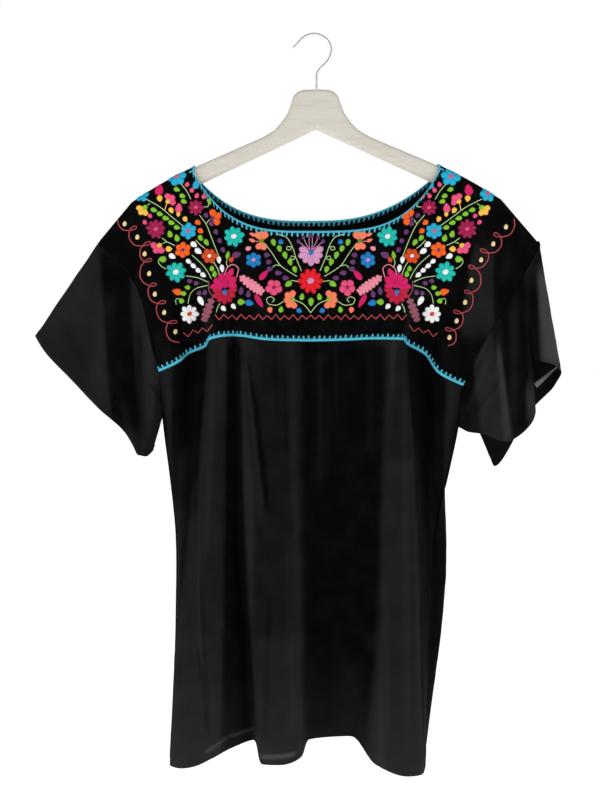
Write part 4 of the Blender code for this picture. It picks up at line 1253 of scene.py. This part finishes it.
def on_yoke(px, py, back):
    """The yoke's point under one pixel, the way out of the cloth there, and whether it was hit.

    Above the shoulder's outline the design is led on over the hanger's arm.
    """
    eye, way = sight_line(px, py, back)
    side = -1 if back else 1
    point, out, _, _ = yoke_tree.ray_cast(eye, way.normalized())
    if point is not None and point.y * side < FAR_SIDE:
        return point, (out if out.dot(way) < 0 else -out), True
    plane = eye + way
    top = shoulder_point(plane.x - HANGER_SHIFT, math.pi / 2)[2]
    if plane.z > top - SHOULDER_MARGIN and abs(plane.x) > NECK_HALF - SHOULDER_MARGIN:
        angle = math.pi / 2 + min(math.pi / 2, (plane.z - top + TURN_START) / SHOULDER_RADIUS)
        out = Vector((0, -math.cos(angle), math.sin(angle)))
        return Vector(shoulder_point(plane.x - HANGER_SHIFT, angle)), out, False
    plane.y = -side * SEARCH_DEPTH
    point, out, _, _ = yoke_tree.find_nearest(plane)
    return point, (out if out.dot(way) < 0 else -out), False


def lay(colour, x, y, height, uv, back):
    """Lays one raised patch of stitches on the cloth: a grid of pixels, and heights in mm."""
    rows, columns = x.shape
    placed = [on_yoke(px, py, back) for px, py in zip(x.ravel(), y.ravel())]
    if back and not all(hit for _, _, hit in placed):
        return
    store = stitches[colour]
    start = len(store["verts"])
    for (point, out, _), rise in zip(placed, height.ravel()):
        store["verts"].append(point + out * (FLOSS_LIFT + rise))
    store["faces"] += grid_faces(rows, columns, start, turn=back)
    store["uv"] += uv.reshape(-1, 2).tolist()
    # Each point's share of its patch's height: the lower it lies, the more painted shade its floss gets.
    store["crest"] += np.clip(height / height.max(), 0, 1).ravel().tolist()


def lay_leaf(colour, x, y, length, width, angle, back, raised=0.75, pointed=0.3):
    """Satin stitch straight across a leaf, a dot or a flower's heart."""
    threads = max(5, round(length * PIXEL / THREAD_WIDTH))
    along, across = np.linspace(-1, 1, 2 * threads + 1), np.linspace(-1, 1, 7)
    a, s = np.meshgrid(along, across, indexing="ij")
    half = (1 - a**2) ** (0.5 + pointed / 2) * (1 - pointed * a)
    turn = math.radians(angle)
    u, w = a * length / 2, s * np.maximum(half, 0.02) * width / 2
    px = x + u * math.cos(turn) - w * math.sin(turn)
    py = y - u * math.sin(turn) - w * math.cos(turn)
    ridge = np.where(np.arange(len(along)) % 2 == 0, LEAF_HOLLOW, 1.0)[:, None]
    height = raised * np.sqrt(1 - s**2) * np.sqrt(np.maximum(0.02, 1 - a**4)) * ridge
    height = np.where(np.abs(s) > 0.99, SUNK_RIM, height)
    lay(colour, px, py, height, np.stack((u, w), axis=-1) * PIXEL * MM, back)


def lay_petal(colour, x, y, reach, width, angle, back):
    """Satin stitch out from a flower's heart, 1 mm high, in threads that run lengthwise."""
    along, across = np.linspace(0.1, 1, 10), np.linspace(-1, 1, 13)
    t, s = np.meshgrid(along, across, indexing="ij")
    half = np.maximum(0.30 * (1 - t), np.sin(math.pi * np.minimum(t, 0.999) ** 1.75) ** 0.6)
    turn = math.radians(angle)
    u, w = t * reach, s * half * width / 2
    px = x + u * math.cos(turn) - w * math.sin(turn)
    py = y - u * math.sin(turn) - w * math.cos(turn)
    ridge = np.where(np.arange(len(across)) % 2 == 1, 1.0, PETAL_HOLLOW)[None, :]
    height = np.sqrt(1 - s**2) * (0.4 + 0.6 * np.sin(t * math.pi * 0.92)) * ridge
    height = np.where((np.abs(s) > 0.99) | (t > 0.99), SUNK_RIM, height)
    lay(colour, px, py, height, np.stack((w, u), axis=-1) * PIXEL * MM, back)


def lay_stem(colour, width, points, back):
    """Stem stitch: a thin raised line of slanting stitches."""
    points = np.array(points, float)
    knots = np.concatenate(([0.0], np.cumsum(np.linalg.norm(np.diff(points, axis=0), axis=1))))
    steps = max(3, int(knots[-1]))
    curve = smooth(knots, points, np.linspace(0, knots[-1], steps + 1))
    way = np.gradient(curve, axis=0)
    way /= np.maximum(np.linalg.norm(way, axis=1, keepdims=True), 1e-9)
    across = np.linspace(-1, 1, 5)[None, :]
    beat = (np.arange(steps + 1) % 2)[:, None]
    w, slip = across * width / 2, STEM_SLANT * across * beat
    px = curve[:, :1] - way[:, 1:] * w + way[:, :1] * slip
    py = curve[:, 1:] + way[:, :1] * w + way[:, 1:] * slip
    height = STEM_HEIGHT * np.sqrt(1 - across**2) * np.where(beat == 1, 1.0, STEM_HOLLOW)
    height = np.where(np.abs(across) > 0.99, SUNK_RIM, height)
    run = np.broadcast_to(np.linspace(0, knots[-1], steps + 1)[:, None], px.shape)
    uv = np.stack((np.broadcast_to(w, px.shape), run), axis=-1)
    lay(colour, px, py, height, uv * PIXEL * MM, back)


def lay_border(joints, turn, back):
    """The looped border: scallops from joint to joint, a small loop at each and a knot inside."""
    for k, ((x0, y0), (x1, y1)) in enumerate(zip(joints, joints[1:])):
        dx, dy = x1 - x0, y1 - y0
        bulge = SCALLOP_DEPTH * (1 + 0.15 * math.sin(2.4 * k))
        side_x, side_y = -turn * dy * bulge, turn * dx * bulge
        scallop = [(x0 + dx * t + side_x * bow, y0 + dy * t + side_y * bow) for t, bow in SCALLOP]
        lay_stem("border_red", 1.1, [(x0, y0), *scallop, (x1, y1)], back)
        if k < LOOPS:
            reach = LOOP_REACH + math.sin(1.7 * k)
            lean = math.radians(28 - 4 * k)
            c, s = turn * math.cos(lean), -math.sin(lean)
            loop = [(x1 + c * reach * a - s * b, y1 + s * reach * a + c * b) for a, b in LOOP]
            lay_stem("border_red", 1.0, loop, back)
        knot = x0 + dx * 0.5 - side_x * 0.35, y0 + dy * 0.5 - side_y * 0.35
        lay_leaf("straw", *knot, 5.4, 4.2, 80, back, raised=0.8, pointed=0.15)


def opposite(x, y):
    """The place on the right half of the design that answers one on the left half."""
    away = DESIGN_MIDDLE - x
    wider = WIDER_BY * away / WIDER_AT * min(1, max(0, (WIDER_ABOVE - y) / WIDER_OVER))
    return DESIGN_MIDDLE + away + wider


def as_drawn(x, y, angle=0.0):
    return x, y, angle


def mirrored(x, y, angle=0.0):
    return opposite(x, y), y, 180 - angle


def lay_zigzag(z, at, back):
    corners = []
    for i in range(z.strokes + 1):
        share = i / z.strokes
        rise = (ZIGZAG_RISE if i % 2 else -ZIGZAG_RISE) + 0.6 * math.sin(i * 1.7)
        corners.append(at(z.x0 + (z.x1 - z.x0) * share, z.y0 + (z.y1 - z.y0) * share + rise)[:2])
    for start, end in zip(corners, corners[1:]):
        lay_stem("border_red", 1.0, (start, end), back)


def lay_stamen(x, y, at, back):
    root_x, root_y = STAMEN_ROOT
    bend = at((x + root_x - 1) / 2, (y + root_y - 2) / 2 + 1.2)
    lay_stem("lilac", 0.7, (at(root_x, root_y)[:2], bend[:2], at(x, y)[:2]), back)
    lay_leaf("purple", *at(x, y)[:2], 4.6, 3.8, 90, back, raised=0.7, pointed=0.1)


def lay_feather(f, at, back):
    """A long leaf, with a lobe out to each side at even steps, shorter towards both ends."""
    x0, y0, _ = at(f.x0, f.y0)
    x1, y1, _ = at(f.x1, f.y1)
    run, lean = math.hypot(x1 - x0, y1 - y0), math.atan2(y0 - y1, x1 - x0)
    middle = ((x0 + x1) / 2, (y0 + y1) / 2)
    length, width, angle = run * 1.06, f.width * 0.55, math.degrees(lean)
    lay_leaf(f.colour, *middle, length, width, angle, back, raised=0.9, pointed=0)
    for k in range(f.lobes):
        share = (k + 0.5) / f.lobes
        taper = math.sin(math.pi * (0.13 + 0.74 * share)) ** 0.6
        reach = f.width * 0.30 * taper
        for slant in (lean + 1.0, lean - 1.0):
            lobe_x = x0 + (x1 - x0) * share + reach * math.cos(slant)
            lobe_y = y0 + (y1 - y0) * share - reach * math.sin(slant)
            length, width, angle = f.width * 0.56 * taper, run / f.lobes * 0.98, math.degrees(slant)
            lay_leaf(f.colour, lobe_x, lobe_y, length, width, angle, back, raised=0.8, pointed=0)


def lay_flower(f, at, back):
    x, y, turn = at(f.x, f.y, f.turn)
    width = PETAL_FULLNESS * math.pi * f.size / 2 / f.petals
    bed = f.size * BED_SIZE
    lay_leaf(f.colour, x, y, bed, bed, 0, back, raised=BED_HEIGHT, pointed=0)
    for k in range(f.petals):
        reach = f.size / 2 * (1 + PETAL_UNEVENNESS * math.sin(k * 2.3 + f.x))
        lay_petal(f.colour, x, y, reach, width, turn + 360 * k / f.petals, back)
    lay_leaf(f.heart, x, y, f.heart_size, f.heart_size, 30, back, raised=HEART_HEIGHT, pointed=0)


def lay_fan(f, at, back):
    x, y, first = at(f.x, f.y, f.first)
    _, _, last = at(f.x, f.y, f.last)
    spread = math.radians(abs(last - first)) / max(1, f.petals - 1)
    width = min(f.reach * WIDEST_FAN_PETAL, FAN_FULLNESS * f.reach * FAN_MIDDLE * spread)
    for k in range(f.petals):
        angle = first + (last - first) * k / (f.petals - 1)
        reach = f.reach * (1 + PETAL_UNEVENNESS * math.sin(k * 2.3))
        lay_petal(f.colour, x, y, reach, width, angle, back)
    heart = f.heart_size, f.heart_size * 0.95
    lay_leaf(f.heart, x, y, *heart, 40, back, raised=FAN_HEART_HEIGHT, pointed=0)


def lay_row(r, at, back):
    run = math.hypot(r.x1 - r.x0, r.y1 - r.y0) or 1.0
    for k in range(r.count):
        t = k / max(1, r.count - 1)
        bow = r.bow * 4 * t * (1 - t)
        x = r.x0 + (r.x1 - r.x0) * t + bow * (r.y1 - r.y0) / run
        y = r.y0 + (r.y1 - r.y0) * t - bow * (r.x1 - r.x0) / run
        grow = 1 + LEAF_UNEVENNESS * math.sin(2.1 * k + r.x0)
        lay_leaf(r.colour, *at(x, y)[:2], r.length * grow, r.width, at(x, y, r.angle)[2], back)


for back in (False, True):
    for at, border, turn in ((as_drawn, LEFT_BORDER, 1), (mirrored, RIGHT_BORDER, -1)):
        for stem in PAIRED_STEMS:
            lay_stem(stem.colour, stem.width, [at(*point)[:2] for point in stem.points], back)
        for zigzag in ZIGZAGS:
            lay_zigzag(zigzag, at, back)
        for x, y in STAMENS:
            lay_stamen(x, y, at, back)
        for flower in PAIRED_FLOWERS:
            lay_flower(flower, at, back)
        for fan in PAIRED_FANS:
            lay_fan(fan, at, back)
        for feather in PAIRED_FEATHERS:
            lay_feather(feather, at, back)
        for row in PAIRED_ROWS:
            lay_row(row, at, back)
        lay_border(border, turn, back)
    lay_fan(MIDDLE_FAN, as_drawn, back)
    lay_flower(MIDDLE_FLOWER, as_drawn, back)
    lay_row(MIDDLE_LEAF, as_drawn, back)


def floss_group():
    """Stranded cotton laid side by side: lighter along each strand's crown, with painted shade between
    strands and where the stitches lie low.
    """
    group = bpy.data.node_groups.new("laid_floss", "ShaderNodeTree")
    face = group.interface
    face.new_socket("Strands per metre", in_out="INPUT", socket_type="NodeSocketFloat")
    face.new_socket("Crown colour", in_out="INPUT", socket_type="NodeSocketColor")
    face.new_socket("Hollow colour", in_out="INPUT", socket_type="NodeSocketColor")
    face.new_socket("Colour", in_out="OUTPUT", socket_type="NodeSocketColor")
    face.new_socket("Roughness", in_out="OUTPUT", socket_type="NodeSocketFloat")
    face.new_socket("Height", in_out="OUTPUT", socket_type="NodeSocketFloat")
    nodes, link = group.nodes, group.links.new
    given, out = nodes.new("NodeGroupInput"), nodes.new("NodeGroupOutput")
    where = nodes.new("ShaderNodeUVMap")
    where.uv_map = "weave"
    scaled = nodes.new("ShaderNodeVectorMath")
    scaled.operation = "SCALE"
    link(where.outputs["UV"], scaled.inputs[0])
    link(given.outputs["Strands per metre"], scaled.inputs["Scale"])
    strands = nodes.new("ShaderNodeTexWave")
    strands.bands_direction = "X"
    strands.inputs["Scale"].default_value = 0.5
    strands.inputs["Distortion"].default_value = 1.5
    strands.inputs["Detail"].default_value = 2.0
    link(scaled.outputs["Vector"], strands.inputs["Vector"])
    uneven = nodes.new("ShaderNodeTexNoise")
    uneven.inputs["Scale"].default_value = 420.0
    uneven.inputs["Detail"].default_value = 3.0
    link(where.outputs["UV"], uneven.inputs["Vector"])
    mixed = nodes.new("ShaderNodeMath")
    mixed.operation = "MULTIPLY_ADD"
    mixed.inputs[1].default_value = 0.45
    link(strands.outputs["Fac"], mixed.inputs[0])
    link(uneven.outputs["Fac"], mixed.inputs[2])
    stand = nodes.new("ShaderNodeUVMap")
    stand.uv_map = "folds"
    apart = nodes.new("ShaderNodeSeparateXYZ")
    link(stand.outputs["UV"], apart.inputs[0])
    crown = nodes.new("ShaderNodeMath")
    crown.operation = "MULTIPLY_ADD"
    crown.inputs[1].default_value = 0.75
    link(apart.outputs["X"], crown.inputs[0])
    link(mixed.outputs[0], crown.inputs[2])
    spread = nodes.new("ShaderNodeMapRange")
    spread.inputs["From Min"].default_value = 0.55
    spread.inputs["From Max"].default_value = 1.35
    link(crown.outputs[0], spread.inputs["Value"])
    colour = nodes.new("ShaderNodeMix")
    colour.data_type = "RGBA"
    link(spread.outputs["Result"], colour.inputs["Factor"])
    link(given.outputs["Hollow colour"], colour.inputs["A"])
    link(given.outputs["Crown colour"], colour.inputs["B"])
    link(colour.outputs["Result"], out.inputs["Colour"])
    rough = nodes.new("ShaderNodeMath")
    rough.operation = "MULTIPLY_ADD"
    rough.inputs[1].default_value = -0.15
    rough.inputs[2].default_value = 0.68
    link(spread.outputs["Result"], rough.inputs[0])
    link(rough.outputs[0], out.inputs["Roughness"])
    link(mixed.outputs[0], out.inputs["Height"])
    return group


LAID_FLOSS = floss_group()


def floss_material(name, crown, painted_shade):
    material = bpy.data.materials.new(name)
    material.use_nodes = True
    nodes, link = material.node_tree.nodes, material.node_tree.links.new
    shader = nodes["Principled BSDF"]
    laid = nodes.new("ShaderNodeGroup")
    laid.node_tree = LAID_FLOSS
    laid.inputs["Strands per metre"].default_value = 2600
    laid.inputs["Crown colour"].default_value = (*crown, 1)
    laid.inputs["Hollow colour"].default_value = (*painted_shade, 1)
    link(laid.outputs["Colour"], shader.inputs["Base Color"])
    link(laid.outputs["Roughness"], shader.inputs["Roughness"])
    bump = nodes.new("ShaderNodeBump")
    bump.inputs["Strength"].default_value = 0.6
    bump.inputs["Distance"].default_value = 0.00015
    link(laid.outputs["Height"], bump.inputs["Height"])
    link(bump.outputs["Normal"], shader.inputs["Normal"])
    shader.inputs["Specular IOR Level"].default_value = 0.25
    return material


for colour, store in stitches.items():
    name, verts = f"embroidery_{colour}", np.array(store["verts"]) * MM
    thread = floss_material(f"{colour}_floss", *FLOSS[colour])
    piece = new_piece(name, verts, store["faces"], thread, store["uv"], store["crest"])
    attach(piece, "root")


# Blanket-stitch edging
# Thick turquoise floss in blanket stitch: a cord along the edge with a leg every 6 mm into the
# cloth.  It binds the neck all round, on both sides, and covers the yoke's two lower seams.
EDGING_FLOSS = floss_material("edging_blue_floss", (0.060, 0.42, 0.56), (0.012, 0.15, 0.23))
CORD_STEP, CORD_SIDES = 0.75, 10  # mm between two rings of the cord, and the points of a ring
CORD_WEAVE = 1.2 * MM  # the cord's radius on the weave map
CORD_BEAT = 0.10  # share by which the cord swells at each leg and halfway to the next
LEG_PITCH, LEG_LENGTH = 5.9, 4.9  # mm
LEG_HEIGHT, LEG_HOLLOW = 0.75, 0.84  # mm, and the share of it between two threads
LEG_ROWS, LEG_COLUMNS = 8, 7

# How the cord lies, in mm: half its width and height, and its shift into the cloth and out of it.
Cord = namedtuple("Cord", "half_width half_height inward outward")
NECK_CORD = Cord(1.35, 1.25, -0.5, 0.0)
SEAM_CORD = Cord(1.65, 1.0, 0.0, 0.95)

# A leg on the cloth's outer face or, where the neck is bound, on its inner face; its half width
# in mm, its share of the full length, and its lean along the edge for each mm of its length.
Leg = namedtuple("Leg", "face half_width length lean")
OUTER_LEG = Leg(1, 1.15, 1.0, 0.0)
INNER_LEG = Leg(-1, 0.8, 0.9, 0.55)


def edge_frames(rows, step):
    """Even stations along an edge: its points, the way into the cloth, and the way out of it."""
    edge, inner, facing = (np.asarray(a, float) for a in rows)
    run = np.concatenate(([0.0], np.cumsum(np.linalg.norm(np.diff(edge, axis=0), axis=1))))
    at = np.linspace(0, run[-1], max(2, round(run[-1] / step)) + 1)

    def read(values):
        return np.stack([np.interp(at, run, values[:, k]) for k in range(3)], axis=-1)

    edge, inner, facing = read(edge), read(inner), read(facing)
    inward = inner - edge
    inward /= np.linalg.norm(inward, axis=1, keepdims=True)
    out = np.cross(np.gradient(edge, axis=0), inward)
    out /= np.linalg.norm(out, axis=1, keepdims=True)
    out *= np.sign((out * facing).sum(axis=1, keepdims=True))
    return edge, inward, out, at


def leg_patch(leg, k, start, along, inward, out):
    """The k-th leg on the yoke, as a grid of raised points and their places in the weave."""
    lean = 0.10 * math.sin(2.3 * k) + (leg.lean if k % 2 else -leg.lean)
    length = LEG_LENGTH * (1 + 0.10 * math.sin(1.9 * k)) * leg.length
    t, s = np.meshgrid(np.linspace(0, 1, LEG_ROWS), np.linspace(-1, 1, LEG_COLUMNS), indexing="ij")
    rounded = np.sqrt(np.maximum(0.0, 1 - np.clip((t - 0.7) / 0.31, 0, 1) ** 2))
    u, w = 0.3 + t * length, s * leg.half_width * rounded
    flat = start + inward * u[..., None] + along * (w + lean * u)[..., None]
    ridge = np.where(np.arange(LEG_COLUMNS) % 2 == 1, 1.0, LEG_HOLLOW)
    height = LEG_HEIGHT * np.sqrt(1 - s**2) * ridge * (1 - 0.3 * t)
    height = np.where((np.abs(s) > 0.99) | (t > 0.99), SUNK_RIM, height)
    way = Vector(out) * leg.face
    verts = []
    for point, rise in zip(flat.reshape(-1, 3), height.ravel()):
        place, normal, _, _ = yoke_tree.find_nearest(Vector(point) + way * 0.4)
        verts.append(tuple(place + (normal if normal.dot(way) > 0 else -normal) * (FLOSS_LIFT + rise)))
    return verts, (np.stack((w, u), axis=-1) * MM).reshape(-1, 2).tolist()


def blanket_stitch(name, node, rows, cord, closed):
    edge, inward, out, at = edge_frames(rows, CORD_STEP)
    if closed:
        edge, inward, out, at = edge[:-1], inward[:-1], out[:-1], at[:-1]
    turn = 2 * math.pi * np.arange(CORD_SIDES) / CORD_SIDES
    beat = 1 + CORD_BEAT * np.cos(2 * math.pi * at / (LEG_PITCH / 2))[:, None]
    ring = (edge + cord.inward * inward + cord.outward * out)[:, None]
    ring = ring + inward[:, None] * (np.cos(turn) * cord.half_width * beat)[..., None]
    ring = ring + out[:, None] * (np.sin(turn) * cord.half_height * beat)[..., None]
    count = len(ring)
    verts = ring.reshape(-1, 3).tolist()
    uv = [(CORD_WEAVE * math.cos(angle), place * MM) for place in at for angle in turn]
    faces = []
    for i in range(count if closed else count - 1):
        here, ahead = i * CORD_SIDES, (i + 1) % count * CORD_SIDES
        for j in range(CORD_SIDES):
            beside = (j + 1) % CORD_SIDES
            faces.append((here + j, here + beside, ahead + beside, ahead + j))
    if not closed:
        first_end, last_end = range(CORD_SIDES), range(len(verts) - CORD_SIDES, len(verts))
        faces += [tuple(first_end)[::-1], tuple(last_end)]
    edge, inward, out, _ = edge_frames(rows, LEG_PITCH / 2)
    along = np.gradient(edge, axis=0)
    along /= np.linalg.norm(along, axis=1, keepdims=True)
    for k in range(len(edge) - (1 if closed else 0)):
        for leg in (OUTER_LEG, INNER_LEG):
            if (leg is OUTER_LEG and k % 2) or (leg is INNER_LEG and not closed):
                continue
            leg_verts, leg_uv = leg_patch(leg, k, edge[k], along[k], inward[k], out[k])
            faces += grid_faces(LEG_ROWS, LEG_COLUMNS, len(verts), turn=leg is INNER_LEG)
            verts += leg_verts
            uv += leg_uv
    piece = new_piece(name, np.array(verts) * MM, faces, EDGING_FLOSS, uv, np.ones(len(verts)))
    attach(piece, "root")
    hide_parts(node)
    return piece


front_rows, back_rows = yoke_grid(FRONT_LINES, front=True), yoke_grid(BACK_LINES, front=False)
over_left, over_right = over_grid(left=True), over_grid(left=False)
front_neck = slice(SHOULDER_ZONE, front_rows.shape[1] - SHOULDER_ZONE)
back_neck = slice(SHOULDER_ZONE, back_rows.shape[1] - SHOULDER_ZONE)
neck_parts = (
    (front_rows[0, front_neck], front_rows[1, front_neck], (0, -1, 0)),
    (over_right[0, 1:-1], over_right[1, 1:-1], (0, 0, 1)),
    (back_rows[0, back_neck][::-1], back_rows[1, back_neck][::-1], (0, 1, 0)),
    (over_left[-1, -2:0:-1], over_left[-2, -2:0:-1], (0, 0, 1)),
)
neck_rows = [
    np.concatenate([part[0] for part in neck_parts] + [neck_parts[0][0][:1]]),
    np.concatenate([part[1] for part in neck_parts] + [neck_parts[0][1][:1]]),
    np.concatenate([np.tile(part[2], (len(part[0]), 1)) for part in neck_parts] + [[(0, -1, 0)]]),
]
neck_edging = blanket_stitch("neck_blanket_stitch", "neck_cord", neck_rows, NECK_CORD, closed=True)


def seam_rows(rows, side):
    return rows[-1], rows[-2], np.tile((0, side, 0), (rows.shape[1], 1))


front_edging = blanket_stitch(
    "front_seam_blanket_stitch", "front_yoke_edge", seam_rows(front_rows, -1), SEAM_CORD, closed=False
)
back_edging = blanket_stitch(
    "back_seam_blanket_stitch", "back_yoke_edge", seam_rows(back_rows, 1), SEAM_CORD, closed=False
)


# Overcast cuff
# The sleeve's raw edge is overcast by machine with pale thread, which shows where the right cuff
# gapes.  Slanting stitches run along the inside of the cuff's back, narrowing to its outer corner.
OVERCAST_THREAD = floss_material("overcast_grey_floss", (0.36, 0.40, 0.40), (0.13, 0.15, 0.15))
OVERCAST_FROM, OVERCAST_TO = (534.5, 386.5), (557.0, 367.0)  # picture pixels
OVERCAST_WIDTH, OVERCAST_END_WIDTH = 6.0, 1.4  # the same
OVERCAST_STITCHES = 24
OVERCAST_STEPS = 6  # points along a stitch
OVERCAST_SLANT = 0.35  # share of the pitch by which each half of a stitch leans
OVERCAST_LIFT = 0.28  # mm
OVERCAST_HALF_WIDTH, OVERCAST_HEIGHT = 0.42, 0.45  # mm
OVERCAST_WEAVE = 0.4 * MM  # half the thread's width on the weave map
LARGEST_STEP = 4  # mm; a stitch that would leap from one fold to another is left out


def overcast_edge(name, sleeve):
    places = [v.co / MM for v in sleeve.data.vertices]
    tree = BVHTree.FromPolygons(places, [tuple(p.vertices) for p in sleeve.data.polygons])
    start, end = np.array(OVERCAST_FROM), np.array(OVERCAST_TO)
    run_x, run_y = (end - start) / np.linalg.norm(end - start)
    across = np.array((run_y, -run_x))
    verts, faces, uv = [], [], []
    for k in range(OVERCAST_STITCHES):
        share = (k + 0.5) / OVERCAST_STITCHES
        reach = (OVERCAST_WIDTH + (OVERCAST_END_WIDTH - OVERCAST_WIDTH) * share) / 2
        points = []
        for step in np.linspace(-1, 1, OVERCAST_STEPS):
            slide = share + OVERCAST_SLANT * step / OVERCAST_STITCHES
            eye, way = sight_line(*(start + (end - start) * slide + across * reach * step))
            place, out, _, _ = tree.ray_cast(eye, way.normalized())
            if place is not None:
                points.append((place, out if out.dot(way) < 0 else -out))
        steps = [(a[0] - b[0]).length for a, b in zip(points, points[1:])]
        if len(points) < OVERCAST_STEPS or max(steps) > LARGEST_STEP:
            continue
        thread = (points[-1][0] - points[0][0]).normalized()
        girths = [0.25] + [1.0] * (OVERCAST_STEPS - 2) + [0.25]
        spine = [
            (place + out * OVERCAST_LIFT, out, out.cross(thread).normalized(), girth)
            for (place, out), girth in zip(points, girths)
        ]
        add_bead(verts, faces, spine, OVERCAST_HALF_WIDTH, OVERCAST_HEIGHT)
        uv += [
            (OVERCAST_WEAVE * math.cos(turn), (i + OVERCAST_STEPS * k) * MM)
            for i in range(OVERCAST_STEPS) for turn in BEAD_TURNS
        ]
    piece = new_piece(name, np.array(verts) * MM, faces, OVERCAST_THREAD, uv, np.ones(len(verts)))
    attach(piece, "root")
    return piece


cuff_overcast = overcast_edge("right_cuff_overcast", right_sleeve)


# Hanger
# A flat-bodied beech hanger, painted off-white and a little worn to grey along its edges, with
# a bent steel wire hook screwed into its head.  Both keep the shape of their solids.


def hanger_wood():
    material = bpy.data.materials.new("whitened_wood")
    material.use_nodes = True
    nodes, link = material.node_tree.nodes, material.node_tree.links.new
    shader = nodes["Principled BSDF"]
    where = nodes.new("ShaderNodeTexCoord")
    stretched = nodes.new("ShaderNodeMapping")
    stretched.inputs["Scale"].default_value = (2.0, 30.0, 26.0)
    link(where.outputs["Object"], stretched.inputs["Vector"])
    grain = nodes.new("ShaderNodeTexNoise")
    grain.inputs["Scale"].default_value = 14.0
    grain.inputs["Detail"].default_value = 8.0
    grain.inputs["Roughness"].default_value = 0.65
    link(stretched.outputs["Vector"], grain.inputs["Vector"])
    tone = nodes.new("ShaderNodeValToRGB")
    tone.color_ramp.elements[0].position = 0.34
    tone.color_ramp.elements[0].color = (0.515, 0.478, 0.415, 1)
    tone.color_ramp.elements[1].position = 0.56
    tone.color_ramp.elements[1].color = (0.580, 0.545, 0.482, 1)
    link(grain.outputs["Fac"], tone.inputs["Fac"])
    edge = nodes.new("ShaderNodeNewGeometry")
    tone_share = nodes.new("ShaderNodeMapRange")
    tone_share.inputs["From Min"].default_value = 0.53
    tone_share.inputs["From Max"].default_value = 0.60
    tone_share.inputs["To Max"].default_value = 0.55
    link(edge.outputs["Pointiness"], tone_share.inputs["Value"])
    greyed = nodes.new("ShaderNodeMix")
    greyed.data_type = "RGBA"
    greyed.inputs["B"].default_value = (0.40, 0.37, 0.32, 1)
    link(tone_share.outputs["Result"], greyed.inputs["Factor"])
    link(tone.outputs["Color"], greyed.inputs["A"])
    link(greyed.outputs["Result"], shader.inputs["Base Color"])
    rough = nodes.new("ShaderNodeMapRange")
    rough.inputs["To Min"].default_value = 0.42
    rough.inputs["To Max"].default_value = 0.62
    link(grain.outputs["Fac"], rough.inputs["Value"])
    link(rough.outputs["Result"], shader.inputs["Roughness"])
    bump = nodes.new("ShaderNodeBump")
    bump.inputs["Strength"].default_value = 0.25
    bump.inputs["Distance"].default_value = 0.0002
    link(grain.outputs["Fac"], bump.inputs["Height"])
    link(bump.outputs["Normal"], shader.inputs["Normal"])
    shader.inputs["Coat Weight"].default_value = 0.12
    shader.inputs["Coat Roughness"].default_value = 0.35
    return material


def hook_steel():
    material = bpy.data.materials.new("bent_steel_wire")
    material.use_nodes = True
    nodes, link = material.node_tree.nodes, material.node_tree.links.new
    shader = nodes["Principled BSDF"]
    shader.inputs["Metallic"].default_value = 1.0
    where = nodes.new("ShaderNodeTexCoord")
    scuff = nodes.new("ShaderNodeTexNoise")
    scuff.inputs["Scale"].default_value = 700.0
    scuff.inputs["Detail"].default_value = 4.0
    link(where.outputs["Object"], scuff.inputs["Vector"])
    tone = nodes.new("ShaderNodeValToRGB")
    tone.color_ramp.elements[0].color = (0.56, 0.55, 0.53, 1)
    tone.color_ramp.elements[1].color = (0.76, 0.75, 0.73, 1)
    link(scuff.outputs["Fac"], tone.inputs["Fac"])
    link(tone.outputs["Color"], shader.inputs["Base Color"])
    rough = nodes.new("ShaderNodeMapRange")
    rough.inputs["To Min"].default_value = 0.34
    rough.inputs["To Max"].default_value = 0.52
    link(scuff.outputs["Fac"], rough.inputs["Value"])
    link(rough.outputs["Result"], shader.inputs["Roughness"])
    return material


for node, material in (("hanger", hanger_wood()), ("hook", hook_steel())):
    for place in bpy.data.objects[node].material_slots:
        place.material = material
